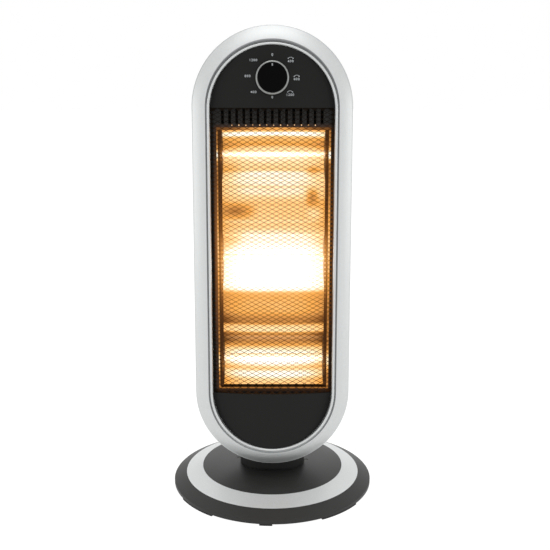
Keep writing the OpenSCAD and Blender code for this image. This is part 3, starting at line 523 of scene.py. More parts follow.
@dataclass(frozen=True)
class LitEnamel(SheetMetal):
    """Stove enamel round the lit window, with painted light that wraps round its edges and tints it brown.
    """

    # Half width, foot and top of the window in the head's own frame
    window: tuple[float, float, float] = (73.5, 1.0, 349.2)
    reach: float = 6.0
    edge: float = 0.2
    # The painted light is strongest beside the middle tube, and only a share of it is left at the ends
    edge_zones: Rows = ((190.0, 150.0, 0.9),)
    end_share: float = 0.1
    # Painted light on the strands inside the window: height, reach and level of each lit zone
    zones: Rows = ()
    zone_margin: float = 5.0
    # Pitch, height and level of the painted glints of light at the feet of the slots
    glints: tuple[float, float, float] | None = None
    glint_half_w: float = 1.0
    glint_half_h: float = 1.2
    # How many pitches from the middle the last glint may be
    glint_span: float = 6.5

    def paint(self, tree: Tree) -> dict[str, Any]:
        """Paints the light that fades away from the window's edge.

        Args:
            tree: the material's node tree.

        Returns:
            The principled shader's inputs, by name.
        """
        x, _, z = unit_axes(tree)
        half_w, foot, top = self.window
        away = add_node(tree, "Math", (x,), operation="ABSOLUTE")
        outside: Source | float = 0.0
        for reached, limit in ((away, half_w), (foot, z), (z, top)):
            past = add_node(tree, "Math", (reached, limit), operation="SUBTRACT")
            past = add_node(tree, "Math", (past, 0.0), operation="MAXIMUM")
            outside = add_node(tree, "Math", (past, outside), operation="ADD")
        fade = hill(tree, outside, 0.0, self.reach, self.edge)
        along = hills(tree, z, self.end_share, self.edge_zones)
        inside = add_node(tree, "Math", (away, half_w - self.zone_margin), operation="LESS_THAN")
        lit = add_node(tree, "Math", (hills(tree, z, 0.0, self.zones), inside), operation="MULTIPLY")
        level = add_node(tree, "Math", (fade, along, lit), operation="MULTIPLY_ADD")
        if self.glints is not None:
            pitch, height, gain = self.glints
            turn = add_node(tree, "Math", (x, pitch / 2), operation="PINGPONG")
            column = hill(tree, turn, 0.0, self.glint_half_w)
            spot = hill(tree, z, height, self.glint_half_h, gain)
            spot = add_node(tree, "Math", (column, spot), operation="MULTIPLY")
            among = add_node(tree, "Math", (away, self.glint_span * pitch), operation="LESS_THAN")
            level = add_node(tree, "Math", (spot, among, level), operation="MULTIPLY_ADD")
        return super().paint(tree) | PAINTED_LIGHT.light(tree, level)


@dataclass(frozen=True)
class Ceramic(Finish):
    """Unglazed steatite: off-white, matt and slightly chalky, with a fine speckle."""

    colour: str = "#d9d3c4"
    roughness: float = 0.75
    ior: float = 1.6
    speckle_mm: float = 0.6
    speckle_depth_mm: float = 0.04
    speckle_strength: float = 0.3
    speckle_tone: float = 0.8

    def paint(self, tree: Tree) -> dict[str, Any]:
        """Speckles the body and roughens it.

        Args:
            tree: the material's node tree.

        Returns:
            The principled shader's inputs, by name.
        """
        fine = {"Vector": object_point(tree), "Scale": per_mm(self.speckle_mm), "Detail": 4.0}
        speckle = add_node(tree, "TexNoise", fine)
        tones = {"Factor": speckle, "A": linear(self.colour, self.speckle_tone), "B": linear(self.colour)}
        relief = {
            "Height": speckle, "Strength": self.speckle_strength, "Distance": self.speckle_depth_mm * MM,
        }
        return {
            "Base Color": add_node(tree, "Mix", tones, data_type="RGBA"),
            "Normal": add_node(tree, "Bump", relief),
            "Roughness": self.roughness,
            "IOR": self.ior,
        }


@dataclass(frozen=True)
class LightPatch:
    """A soft patch on the reflector, where less light is painted (or, with a minus depth, more)."""

    x: float
    z: float
    half_w: float
    half_h: float
    depth: float


@dataclass(frozen=True)
class LitReflector(Finish):
    """Bright aluminium behind lit tubes: bands of caught light, soft along and crisp across.

    The bands are the tubes' mirror images in the troughs and on the flat webs between them.
    """

    colour: str = "#2e2418"
    roughness: float = 0.3
    # Heights between which the bands are spread
    low: float = 0.0
    high: float = 350.0
    # Height up the head in millimetres and level of the light there
    bands: tuple[tuple[float, float], ...] = (
        (7.0, 0.58), (12.0, 0.82), (16.5, 0.82), (20.5, 0.62), (25.0, 0.79), (31.0, 0.96), (43.0, 0.8),
        (48.5, 0.68), (53.0, 0.42), (59.0, 0.28), (76.0, 0.3), (79.5, 0.72), (87.0, 0.65), (90.5, 0.28),
        (97.0, 0.3), (106.0, 0.49), (131.5, 0.52), (135.5, 0.85), (142.0, 0.96), (177.0, 1.0),
        (196.0, 0.83), (213.0, 0.74), (222.0, 0.64), (252.0, 0.59), (264.0, 0.74), (290.0, 0.79),
        (294.0, 0.63), (309.0, 0.77), (321.0, 0.7), (327.0, 0.42), (336.5, 0.55), (340.0, 0.9),
    )
    # At the sheet's ends, an image that is the reach away from the middle height bends this far to it
    bow: float = 2.5
    bow_middle: float = 177.0
    bow_reach: float = 150.0
    end_loss: float = 0.17
    half_w: float = 66.8
    # Patches that take painted light away, or add it with a minus depth
    light_patches: tuple[LightPatch, ...] = (
        # The sheet's top edge rolls away from the light
        LightPatch(0.0, 347.0, 400.0, 6.0, 0.6),
        LightPatch(0.0, 273.0, 200.0, 3.5, 0.05),
        LightPatch(-45.0, 241.0, 32.0, 15.0, 0.32),
        LightPatch(-54.0, 296.0, 20.0, 12.0, 0.08),
        LightPatch(-60.0, 202.0, 30.0, 24.0, 0.1),
        LightPatch(54.0, 292.0, 13.0, 9.0, 0.2),
        LightPatch(52.0, 260.0, 12.0, 17.0, 0.36),
        LightPatch(56.0, 237.0, 16.0, 13.0, -0.14),
        LightPatch(0.0, 227.5, 200.0, 3.0, -0.07),
        LightPatch(0.0, 125.0, 200.0, 8.0, 0.03),
    )
    ripple_mm: float = 6.0
    ripple_stretch: tuple[float, float, float] = (0.15, 1.0, 1.0)
    ripple: float = 0.05

    def bowed(self, tree: Tree, across: Source, z: Source) -> Node:
        """The height of the band that shows at a point.

        Args:
            tree: the material's node tree.
            across: 0 in the middle of the reflector and 1 at its ends.
            z: the point's height up the head.

        Returns:
            The band's height.
        """
        above = add_node(tree, "Math", (z, self.bow_middle), operation="SUBTRACT")
        above = add_node(tree, "Math", (above, self.bow_reach), operation="DIVIDE")
        shift = add_node(tree, "Math", (across, above), operation="MULTIPLY")
        return add_node(tree, "Math", (shift, self.bow, z), operation="MULTIPLY_ADD")

    def dimmed_by_patches(self, tree: Tree, x: Source, z: Source, level: Source) -> Source:
        """Takes the patches of painted light off a level.

        Args:
            tree: the material's node tree.
            x: the point's place across the head.
            z: its height up the head.
            level: the level of light there.

        Returns:
            The level that is left.
        """
        for light_patch in self.light_patches:
            patch = hill(tree, x, light_patch.x, light_patch.half_w)
            depth = hill(tree, z, light_patch.z, light_patch.half_h, light_patch.depth)
            patch = add_node(tree, "Math", (patch, depth), operation="MULTIPLY")
            level = add_node(tree, "Math", (level, patch), operation="SUBTRACT")
        return level

    def paint(self, tree: Tree) -> dict[str, Any]:
        """Lays the painted bands of light over the sheet, then the loss towards its ends, the patches and
        the ripple.

        Args:
            tree: the material's node tree.

        Returns:
            The principled shader's inputs, by name.
        """
        x, _, z = head_axes(tree)
        middle_x, _, _ = unit_axes(tree)
        aside = add_node(tree, "Math", (middle_x, self.half_w), operation="DIVIDE")
        across = add_node(tree, "Math", (aside, aside), operation="MULTIPLY")
        span = self.high - self.low
        stops = [((height - self.low) / span, (level,) * 3 + (1.0,)) for height, level in self.bands]
        share = add_node(tree, "MapRange", (self.bowed(tree, across, z), self.low, self.high))
        loss = add_node(tree, "Math", (across, across), operation="MULTIPLY")
        level = add_node(tree, "ValToRGB", (share,), stops)
        level = add_node(tree, "Math", (loss, -self.end_loss, level), operation="MULTIPLY_ADD")
        level = self.dimmed_by_patches(tree, x, z, level)
        lines = add_node(tree, "Mapping", {"Vector": object_point(tree), "Scale": self.ripple_stretch})
        ripple = add_node(tree, "TexNoise", {"Vector": lines, "Scale": per_mm(self.ripple_mm)})
        ripple = add_node(tree, "MapRange", (ripple, 0.0, 1.0, -self.ripple, self.ripple))
        level = add_node(tree, "Math", (level, ripple), operation="ADD")
        body = {"Base Color": linear(self.colour), "Metallic": 1.0, "Roughness": self.roughness}
        return body | PAINTED_LIGHT.light(tree, level)


@dataclass(frozen=True)
class LitEndPlate(Finish):
    """Steel browned by heat, which the tubes light up dully, most of all beside the middle one."""

    colour: str = "#120e0b"
    metallic: float = 0.8
    # Height, reach and level of the light from each tube
    zones: Rows = ((172.0, 80.0, 0.24), (40.0, 24.0, 0.05), (314.0, 24.0, 0.05))
    # Patches of oxide: their size, the least and most light on them, and their roughness
    scale_mm: float = 8.0
    scale_light: tuple[float, float] = (0.02, 0.07)
    scale_roughness: tuple[float, float] = (0.45, 0.6)

    def paint(self, tree: Tree) -> dict[str, Any]:
        """Paints the tubes' light on the steel round the heights of the tubes.

        Args:
            tree: the material's node tree.

        Returns:
            The principled shader's inputs, by name.
        """
        _, _, z = head_axes(tree)
        slow = {"Vector": object_point(tree), "Scale": per_mm(self.scale_mm), "Detail": 3.0}
        scale = add_node(tree, "TexNoise", slow)
        base = add_node(tree, "MapRange", (scale, 0.0, 1.0, *self.scale_light))
        body = {
            "Base Color": linear(self.colour),
            "Metallic": self.metallic,
            "Roughness": add_node(tree, "MapRange", (scale, 0.0, 1.0, *self.scale_roughness)),
        }
        return body | PAINTED_LIGHT.light(tree, hills(tree, z, base, self.zones))


@dataclass(frozen=True)
class LitShield(Finish):
    """Aluminium tray round the reflector: only its front lip catches the light past the end plates."""

    colour: str = "#4a3d2c"
    stain_colour: str = "#2f2519"
    stain_mm: float = 20.0
    roughness: float = 0.4
    lip_y: float = 11.4
    # Where the bright strips beside the window start
    side_x: float = 71.6
    # The window's left edge hides a little more of the bright strip than its right edge does
    side_shift: float = 0.6
    top_z: float = 345.0
    bottom_z: float = 4.0
    # Level of the bright strips, and height, reach and level of what each tube adds to them
    strip: float = 0.24
    strip_zones: Rows = ((314.0, 14.0, 0.6), (190.0, 90.0, 0.32), (40.0, 22.0, 0.5))
    # The same for the dull strips inside them
    dull: float = 0.08
    dull_zones: Rows = ((172.0, 80.0, 0.2),)
    # Level of the arc above the window, and the place, reach and level of its bright middle
    arc: float = 0.1
    arc_zones: Rows = ((0.0, 72.0, 0.28),)
    # Level of the faint line below the window
    line: float = 0.2
    speck_mm: float = 3.5
    speck: float = 0.15

    def sides(self, tree: Tree, x: Source, z: Source) -> Node:
        """The level on the lip's sides: a bright strip outside and a dull one inside it.

        Args:
            tree: the material's node tree.
            x: the point's place from the middle of the heating unit.
            z: its height up the head.

        Returns:
            The level, from 0 to 1.
        """
        shifted = add_node(tree, "Math", (x, self.side_shift), operation="ADD")
        away = add_node(tree, "Math", (shifted,), operation="ABSOLUTE")
        outer = add_node(tree, "Math", (away, self.side_x), operation="GREATER_THAN")
        specks = add_node(tree, "TexNoise", {"Vector": object_point(tree), "Scale": per_mm(self.speck_mm)})
        specks = add_node(tree, "MapRange", (specks, 0.0, 1.0, -self.speck, self.speck))
        bright = hills(tree, z, self.strip, self.strip_zones)
        bright = add_node(tree, "Math", (bright, specks), operation="ADD")
        bright = add_node(tree, "Math", (bright, outer), operation="MULTIPLY")
        dull = hills(tree, z, self.dull, self.dull_zones)
        return add_node(tree, "Math", (bright, dull), operation="MAXIMUM")

    def paint(self, tree: Tree) -> dict[str, Any]:
        """Lights the lip: thin strips at its sides, an arc above the window and a faint line below.

        Args:
            tree: the material's node tree.

        Returns:
            The principled shader's inputs, by name.
        """
        x, y, z = unit_axes(tree)
        top = add_node(tree, "Math", (z, self.top_z), operation="GREATER_THAN")
        bottom = add_node(tree, "Math", (z, self.bottom_z), operation="LESS_THAN")
        ends = add_node(tree, "Math", (top, bottom), operation="MAXIMUM")
        between = add_node(tree, "Math", (1.0, ends), operation="SUBTRACT")
        arc = add_node(tree, "Math", (hills(tree, x, self.arc, self.arc_zones), top), operation="MULTIPLY")
        line = add_node(tree, "Math", (bottom, self.line), operation="MULTIPLY")
        lit = add_node(tree, "Math", (arc, line), operation="MAXIMUM")
        lit = add_node(tree, "Math", (self.sides(tree, x, z), between, lit), operation="MULTIPLY_ADD")
        lip = add_node(tree, "Math", (y, self.lip_y), operation="LESS_THAN")
        lit = add_node(tree, "Math", (lit, lip), operation="MULTIPLY")
        slow = {"Vector": object_point(tree), "Scale": per_mm(self.stain_mm), "Detail": 3.0}
        tones = {
            "Factor": add_node(tree, "TexNoise", slow),
            "A": linear(self.stain_colour),
            "B": linear(self.colour),
        }
        body = {
            "Base Color": add_node(tree, "Mix", tones, data_type="RGBA"),
            "Metallic": 1.0,
            "Roughness": self.roughness,
        }
        return body | PAINTED_LIGHT.light(tree, lit)


@dataclass(frozen=True)
class HotWire(Finish):
    """Tungsten wire at working heat: so bright that only its light shows."""

    colour: str = "#3a3634"
    roughness: float = 0.4
    glow: str = "#fff0d2"
    strength: float = 2.2
    cool_share: float = 0.7
    cool_mm: float = 9.0

    def paint(self, tree: Tree) -> dict[str, Any]:
        """Lights the wire, with slightly cooler stretches where its supports touch it.

        Args:
            tree: the material's node tree.

        Returns:
            The principled shader's inputs, by name.
        """
        slow = {"Vector": object_point(tree), "Scale": per_mm(self.cool_mm), "Detail": 1.0}
        heat = (add_node(tree, "TexNoise", slow), 0.0, 1.0, self.strength * self.cool_share, self.strength)
        return {
            "Base Color": linear(self.colour),
            "Metallic": 1.0,
            "Roughness": self.roughness,
            "Emission Color": linear(self.glow),
            "Emission Strength": add_node(tree, "MapRange", heat),
        }


@dataclass(frozen=True)
class FusedQuartz(Finish):
    """Fused quartz round a lit filament: clear glass that looks filled with light along its middle."""

    colour: str = "#fff6e8"
    roughness: float = 0.05
    ior: float = 1.46
    clearness: float = 0.9
    glow: str = "#ffedd0"
    # Height, reach and level of the painted line of glow on each tube; on the lower tube it lies below the
    # axis
    lines: Rows = ((37.0, 4.5, 1.0), (177.0, 4.5, 1.0), (314.0, 4.5, 1.0))
    haze: float = 0.1
    gain: float = 0.85
    end_loss: float = 0.8
    half_w: float = 66.8

    def paint(self, tree: Tree) -> dict[str, Any]:
        """Lights a soft line along each tube, which dims towards the tube's ends.

        Args:
            tree: the material's node tree.

        Returns:
            The principled shader's inputs, by name.
        """
        x, _, z = unit_axes(tree)
        aside = add_node(tree, "Math", (x, self.half_w), operation="DIVIDE")
        across = add_node(tree, "Math", (aside, aside), operation="MULTIPLY")
        fall = (across, -self.end_loss * self.gain, self.gain)
        power = add_node(tree, "Math", fall, operation="MULTIPLY_ADD")
        light = (hills(tree, z, 0.0, self.lines), power, self.haze)
        return {
            "Base Color": linear(self.colour),
            "Roughness": self.roughness,
            "IOR": self.ior,
            "Transmission Weight": self.clearness,
            "Emission Color": linear(self.glow),
            "Emission Strength": add_node(tree, "Math", light, operation="MULTIPLY_ADD"),
        }


@dataclass(frozen=True)
class Print(Finish):
    """White pad printing: a thin opaque ink, slightly broken at its edges."""

    colour: str = "#c9cdd0"
    roughness: float = 0.5
    mottle_mm: float = 0.3
    mottle_tone: float = 0.8

    def paint(self, tree: Tree) -> dict[str, Any]:
        """Mottles the ink faintly.

        Args:
            tree: the material's node tree.

        Returns:
            The principled shader's inputs, by name.
        """
        fine = {"Vector": object_point(tree), "Scale": per_mm(self.mottle_mm)}
        tones = {
            "Factor": add_node(tree, "TexNoise", fine),
            "A": linear(self.colour, self.mottle_tone),
            "B": linear(self.colour),
        }
        return {
            "Base Color": add_node(tree, "Mix", tones, data_type="RGBA"),
            "Roughness": self.roughness,
        }


BASE_PLASTIC = MouldedPlastic(
    "black ABS, fine moulded grain", colour="#282827", roughness=0.46, shine=0.28,
)
HOUSING_PLASTIC = MouldedPlastic(
    "black ABS, moulded grain", colour="#141413", roughness=0.5, grain_mm=0.9, shine=0.3,
)
PANEL_PLASTIC = MouldedPlastic(
    "black ABS, satin moulded", colour="#141413", roughness=0.36,
    grain_mm=0.4, grain_depth_mm=0.012, shine=0.16,
)
# A polished mould leaves the knob like black glass, with only the faintest orange peel
KNOB_PLASTIC = MouldedPlastic(
    "black ABS, gloss moulded", colour="#030303", roughness=0.1,
    grain_mm=3.0, grain_depth_mm=0.01, shine=0.04,
)
SWITCH_PLASTIC = MouldedPlastic("grey phenolic, moulded", colour="#3a3b3e", roughness=0.55)
# Rubber scatters light in a dull skin, so its feet stay matt even against the white floor
FOOT_RUBBER = MouldedPlastic(
    "black rubber, matt moulded", colour="#20201f", roughness=0.8,
    grain_mm=0.5, grain_depth_mm=0.08, shine=0.4,
)
NYLON = MouldedPlastic("white nylon, moulded", colour="#dcdad2", roughness=0.45, grain_mm=1.2)
# The frame's lacquer, with painted shade in its groove and on the top of its outer edge
FRAME_SILVER = GroovedLacquer("silver metallic lacquer, thin in the groove")
# The base's ring is sprayed drier, so its flakes lie at all angles and it looks even from every side
RING_SILVER = SilverLacquer("silver metallic lacquer, dry", colour="#d4d6d6", roughness=0.5, metallic=0.35)
KNOB_SILVER = SilverLacquer("dark silver metallic lacquer", colour="#979997", roughness=0.3)
ZINC = SheetMetal("zinc-plated steel", colour="#aeb0ad", roughness=0.32)
# Blackened screws look dark grey in their recesses beside the neck
BLACK_STEEL = SheetMetal("blackened steel", colour="#3c3b39", roughness=0.4)
MOTOR_CAN = SheetMetal("plated steel can", colour="#b9b8b2", roughness=0.38)
# Stove enamel on steel, tinted brown near the window by painted light
PLATE_ENAMEL = LitEnamel(
    "black stove enamel", colour="#242220", roughness=0.5, metallic=0.0, shine=0.3,
    glints=(8.9, 352.0, 0.92),
)
# The guard's own dark bronze enamel, with painted light round the window and on the strands inside it
GUARD_ENAMEL = LitEnamel(
    "bronzed enamel on expanded steel", colour="#160f08", roughness=0.6, metallic=0.0, shine=0.05,
    edge=0.17, zones=((166.0, 52.0, 0.5), (314.0, 14.0, 0.25), (36.0, 16.0, 0.2)),
)
LIT_REFLECTOR = LitReflector("bright aluminium in the tubes' light")
LIT_SHIELD = LitShield("aluminium with a lit lip")
LIT_END = LitEndPlate("heat-browned steel in the tubes' light")
STEATITE = Ceramic("steatite ceramic")
HOT_WIRE = HotWire("glowing tungsten wire")
QUARTZ = FusedQuartz("fused quartz over a lit filament")
PRINT = Print("white pad print")
# The pointer's ink is painted grey, as the shade of the polished cap that it sits in
POINTER_INK = Print("white pad print in painted shade", colour="#8e9193")

NODE_FINISHES: dict[str, Finish] = {
    "base_cover": BASE_PLASTIC,
    "base_ring": RING_SILVER,
    "base_plate": ZINC,
    "foot_pads": FOOT_RUBBER,
    "foot_tabs": FOOT_RUBBER,
    "ballast_ring": ZINC,
    "swing_motor": MOTOR_CAN,
    "motor_screws": ZINC,
    "wear_washer": NYLON,
    "cover_screws": BLACK_STEEL,
    "base_screws": ZINC,
    "tip_switch": SWITCH_PLASTIC,
    "plunger_spring": ZINC,
    "crank_disc": NYLON,
    "crank_pin": ZINC,
    "tip_plunger": NYLON,
    "neck": HOUSING_PLASTIC,
    "swing_lever": ZINC,
    "lever_screws": ZINC,
    "front_frame": FRAME_SILVER,
    "insert_carrier": PANEL_PLASTIC,
    "control_panel": PANEL_PLASTIC,
    "lower_panel": PANEL_PLASTIC,
    "window_plate": PLATE_ENAMEL,
    "plate_screws": ZINC,
    "heat_shield": LIT_SHIELD,
    "reflector": LIT_REFLECTOR,
    "reflector_end_left": LIT_END,
    "reflector_end_right": LIT_END,
    "tube_lower": QUARTZ,
    "tube_middle": QUARTZ,
    "tube_upper": QUARTZ,
    "tube_caps": STEATITE,
    "rotary_switch": SWITCH_PLASTIC,
    "thermal_cutout": SWITCH_PLASTIC,
    "terminal_block": STEATITE,
    "rear_housing": HOUSING_PLASTIC,
    "housing_screws": ZINC,
    "neck_screws": ZINC,
    "cord_gland": FOOT_RUBBER,
    "knob_cap": KNOB_PLASTIC,
    "knob_ring": KNOB_SILVER,
    "knob_pointer": POINTER_INK,
    "switch_shaft": ZINC,
}


# ---------------------------------------------------------------- the head and its pieces


def seat_on_head(piece: bpy.types.Object, finish: Finish, slot: str, *nodes: str) -> bpy.types.Object:
    """Dresses a piece, lets it ride on the head and hides the CAD nodes that it replaces.

    Args:
        piece: the object, already in place.
        finish: its finish.
        slot: the record's material slot that it belongs to; not used.
        *nodes: the CAD nodes that it replaces.

    Returns:
        The piece.
    """
    piece.data.materials.append(finish.material())
    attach(piece, "head")
    if nodes:
        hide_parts(*nodes)
    log.info("%s: %d faces", piece.name, len(piece.data.polygons))
    return piece


@dataclass
class Guard:
    """The bowed sheet of fine expanded metal in front of the tubes."""

    half_w: float = 79.0
    low: float = -2.4
    high: float = 373.5
    cell_w: float = 10.7
    cell_h: float = 5.7
    strand: float = 0.62
    ridge: float = 0.15
    sheet: float = 0.4
    front_r: float = 318.0
    # A cell that the sheet's edge cuts down to less than this share of a whole one stays closed
    open_share: float = 0.45

    def lattice(self) -> bmesh.types.BMesh:
        """A flat field of whole and trimmed diamonds, standing up and facing forwards.

        Returns:
            The flat mesh.
        """
        tall = self.high - self.low
        count = 2 * math.ceil(self.half_w / self.cell_w + tall / 2 / self.cell_h) + 3
        bm = bmesh.new()
        bmesh.ops.create_grid(bm, x_segments=count, y_segments=count, size=count / 2)
        turn = Matrix.Rotation(math.radians(45), 4, "Z")
        shape = Matrix.Diagonal((self.cell_w / math.sqrt(2), self.cell_h / math.sqrt(2), 1, 1))
        stand = Matrix.Rotation(math.radians(90), 4, "X")
        lift = Matrix.Translation((0, 0, (self.low + self.high) / 2))
        bmesh.ops.transform(bm, matrix=lift @ stand @ shape @ turn, verts=bm.verts)
        edges = (
            ((self.half_w, 0, 0), (1, 0, 0)),
            ((-self.half_w, 0, 0), (-1, 0, 0)),
            ((0, 0, self.high), (0, 0, 1)),
            ((0, 0, self.low), (0, 0, -1)),
        )
        for place, outwards in edges:
            everything = bm.verts[:] + bm.edges[:] + bm.faces[:]
            bmesh.ops.bisect_plane(bm, geom=everything, plane_co=place, plane_no=outwards, clear_outer=True)
        return bm

    def build(self) -> bpy.types.Object:
        """Opens the diamonds, ridges the strands, bows the sheet and gives it its thickness.

        Returns:
            The guard.
        """
        bm = self.lattice()
        whole = self.cell_w * self.cell_h / 2
        wide_enough = [face for face in bm.faces if face.calc_area() > self.open_share * whole]
        bmesh.ops.inset_individual(
            bm, faces=wide_enough, thickness=self.strand / 2, depth=-self.ridge, use_even_offset=True,
        )
        bmesh.ops.delete(bm, geom=wide_enough, context="FACES")
        for vert in bm.verts:
            vert.co.y += HEAD.bow_depth(vert.co.x, self.front_r)
        bmesh.ops.solidify(bm, geom=bm.faces[:], thickness=self.sheet)
        bmesh.ops.recalc_face_normals(bm, faces=bm.faces[:])
        bmesh.ops.transform(bm, matrix=HEAD.matrix(), verts=bm.verts)
        sheet = mesh_object("guard_expanded_metal", bm)
        return seat_on_head(sheet, GUARD_ENAMEL, "guard_steel", "guard_mesh")


class TubePlace(Enum):
    """The three tubes, each with its height up the head in millimetres."""

    LOWER = 40.0
    MIDDLE = 177.0
    UPPER = 314.0


@dataclass
class HeatingCoil:
    """The wound filament inside one quartz tube, with its two straight leads."""

    place: TubePlace
    depth: float = 29.0
    half_len: float = 60.0
    coil_r: float = 0.95
    wire_r: float = 0.25
    wire_sides: int = 5
    pitch: float = 1.5
    steps_per_turn: int = 8
    lead_r: float = 0.5
    lead_sides: int = 8
    lead_end: float = 74.4

    def build(self) -> bpy.types.Object:
        """Spins a small ring along the tube's axis, closes its ends and adds the leads.

        Returns:
            The coil.
        """
        bm = bmesh.new()
        turns = 2 * self.half_len / self.pitch
        steps = round(turns * self.steps_per_turn)
        upright = Matrix.Rotation(math.radians(90), 4, "X")
        start = Matrix.Translation((-self.half_len, 0, self.coil_r))
        bmesh.ops.create_circle(bm, segments=self.wire_sides, radius=self.wire_r, matrix=start @ upright)
        bmesh.ops.spin(
            bm, geom=bm.verts[:] + bm.edges[:], cent=(0, 0, 0), axis=(1, 0, 0),
            dvec=(2 * self.half_len / steps, 0, 0), angle=turns * 2 * math.pi, steps=steps,
            use_merge=False, use_duplicate=False,
        )
        bmesh.ops.holes_fill(bm, edges=[edge for edge in bm.edges if edge.is_boundary], sides=0)
        length = self.lead_end - self.half_len
        along = Matrix.Rotation(math.radians(90), 4, "Y")
        for side in (-1, 1):
            middle = Matrix.Translation((side * (self.half_len + length / 2), 0, 0))
            bmesh.ops.create_cone(
                bm, cap_ends=True, segments=self.lead_sides, radius1=self.lead_r, radius2=self.lead_r,
                depth=length, matrix=middle @ along,
            )
        bmesh.ops.recalc_face_normals(bm, faces=bm.faces[:])
        seat = Matrix.Translation((HEAD.unit_x, self.depth, self.place.value))
        bmesh.ops.transform(bm, matrix=HEAD.matrix() @ seat, verts=bm.verts)
        name = self.place.name.lower()
        coil = mesh_object(f"coil_{name}", bm, smooth=True)
        return seat_on_head(coil, HOT_WIRE, "glowing_wire", f"filament_{name}")


@dataclass(frozen=True)
class Mark:
    """One mark on the control panel: plain figures, and a swing symbol where the head swings."""

    figures: str
    x: float
    z: float
    height: float = 2.9
    swings: bool = False


@dataclass
class DialMarks:
    """The printed marks round the knob, raised by the thickness of their ink."""

    marks: tuple[Mark, ...] = (
        Mark("0", 0.0, 438.7, height=3.1),
        Mark("0", 0.0, 386.8, height=3.1),
        Mark("1200", -23.9, 432.2),
        Mark("800", -31.0, 412.8),
        Mark("400", -23.6, 393.2),
        Mark("400", 22.9, 430.8, swings=True),
        Mark("800", 30.5, 409.0, swings=True),
        Mark("1200", 22.4, 389.8, swings=True),
    )
    # How far the print stands proud of the panel, and its thickness as a share of that
    ink: float = 0.05
    ink_share: float = 0.8
    panel_r: float = 319.4
    # Capital height as a share of the font's size
    cap_share: float = 0.7
    spacing: float = 1.28
    boldness: float = 0.06
    weld: float = 0.001
    symbol_rise: float = 5.0
    symbol_r: float = 3.9
    symbol_w: float = 0.45
    symbol_sweep_deg: float = 80.0
    symbol_steps: int = 10
    arrow_r: float = 0.95
    # How far past the bow's end the middle of an arrowhead stands
    arrow_past_deg: float = 12.0

    def figures(self, mark: Mark) -> bmesh.types.BMesh:
        """The figures of a mark as flat faces that look forwards, centred on their place.

        Args:
            mark: the mark that they belong to.

        Returns:
            The flat mesh.
        """
        curve = bpy.data.curves.new("figures", "FONT")
        curve.body = mark.figures
        curve.size = mark.height / self.cap_share
        curve.align_x = "CENTER"
        curve.align_y = "CENTER"
        curve.offset = self.boldness
        curve.space_character = self.spacing
        holder = bpy.data.objects.new("figures", curve)
        bpy.context.scene.collection.objects.link(holder)
        bpy.context.view_layer.update()
        ready = holder.evaluated_get(bpy.context.evaluated_depsgraph_get())
        flat = bpy.data.meshes.new_from_object(ready)
        bm = bmesh.new()
        bm.from_mesh(flat)
        bpy.data.objects.remove(holder)
        bpy.data.curves.remove(curve)
        bpy.data.meshes.remove(flat)
        bmesh.ops.remove_doubles(bm, verts=bm.verts, dist=self.weld)
        stand = Matrix.Rotation(math.radians(90), 4, "X")
        place = Matrix.Translation((mark.x, 0, mark.z))
        bmesh.ops.transform(bm, matrix=place @ stand, verts=bm.verts)
        return bm

    def symbol(self, mark: Mark) -> bmesh.types.BMesh:
        """A bow with an arrowhead at each end, for a setting at which the head swings.

        Args:
            mark: the mark that it stands over.

        Returns:
            The flat mesh.
        """
        bm = bmesh.new()
        inner = bm.verts.new((self.symbol_r - self.symbol_w / 2, 0, 0))
        outer = bm.verts.new((self.symbol_r + self.symbol_w / 2, 0, 0))
        edge = bm.edges.new((inner, outer))
        sweep = math.radians(self.symbol_sweep_deg)
        start = Matrix.Rotation(math.pi / 2 - sweep / 2, 3, "Z")
        bmesh.ops.rotate(bm, verts=bm.verts, cent=(0, 0, 0), matrix=start)
        bmesh.ops.spin(
            bm, geom=[inner, outer, edge], cent=(0, 0, 0), axis=(0, 0, 1), dvec=(0, 0, 0),
            angle=sweep, steps=self.symbol_steps, use_merge=False, use_duplicate=False,
        )
        for side in (-1, 1):
            lean = side * (sweep / 2 + math.radians(self.arrow_past_deg))
            spot = Matrix.Rotation(-lean, 4, "Z") @ Matrix.Translation((0, self.symbol_r, 0))
            point_out = Matrix.Rotation(-side * math.pi / 2, 4, "Z")
            bmesh.ops.create_circle(
                bm, cap_ends=True, segments=3, radius=self.arrow_r, matrix=spot @ point_out,
            )
        stand = Matrix.Rotation(math.radians(90), 4, "X")
        drop = Matrix.Translation((mark.x, 0, mark.z + self.symbol_rise - self.symbol_r))
        bmesh.ops.transform(bm, matrix=drop @ stand, verts=bm.verts)
        return bm

    def lay_on_panel(self, bm: bmesh.types.BMesh) -> None:
        """Bows the flat faces to the panel and gives them the ink's thickness.

        Args:
            bm: the flat mesh, which is changed.
        """
        bmesh.ops.triangulate(bm, faces=bm.faces[:])
        for vert in bm.verts:
            vert.co.y = HEAD.bow_depth(vert.co.x, self.panel_r) - self.ink
        for face in bm.faces:
            if face.normal.y > 0:
                face.normal_flip()
        bmesh.ops.solidify(bm, geom=bm.faces[:], thickness=self.ink * self.ink_share)
        bmesh.ops.recalc_face_normals(bm, faces=bm.faces[:])
        bmesh.ops.transform(bm, matrix=HEAD.matrix(), verts=bm.verts)

    def build(self) -> list[bpy.types.Object]:
        """Builds every mark as a piece of its own.

        Returns:
            The pieces, in the order of the marks.
        """
        pieces = []
        for number, mark in enumerate(self.marks, 1):
            parts: list[tuple[str, Callable[[Mark], bmesh.types.BMesh]]] = [("figures", self.figures)]
            if mark.swings:
                parts.append(("swing_symbol", self.symbol))
            for word, make in parts:
                bm = make(mark)
                self.lay_on_panel(bm)
                piece = mesh_object(f"dial_{word}_{number}", bm)
                pieces.append(seat_on_head(piece, PRINT, "pointer_white"))
        return pieces


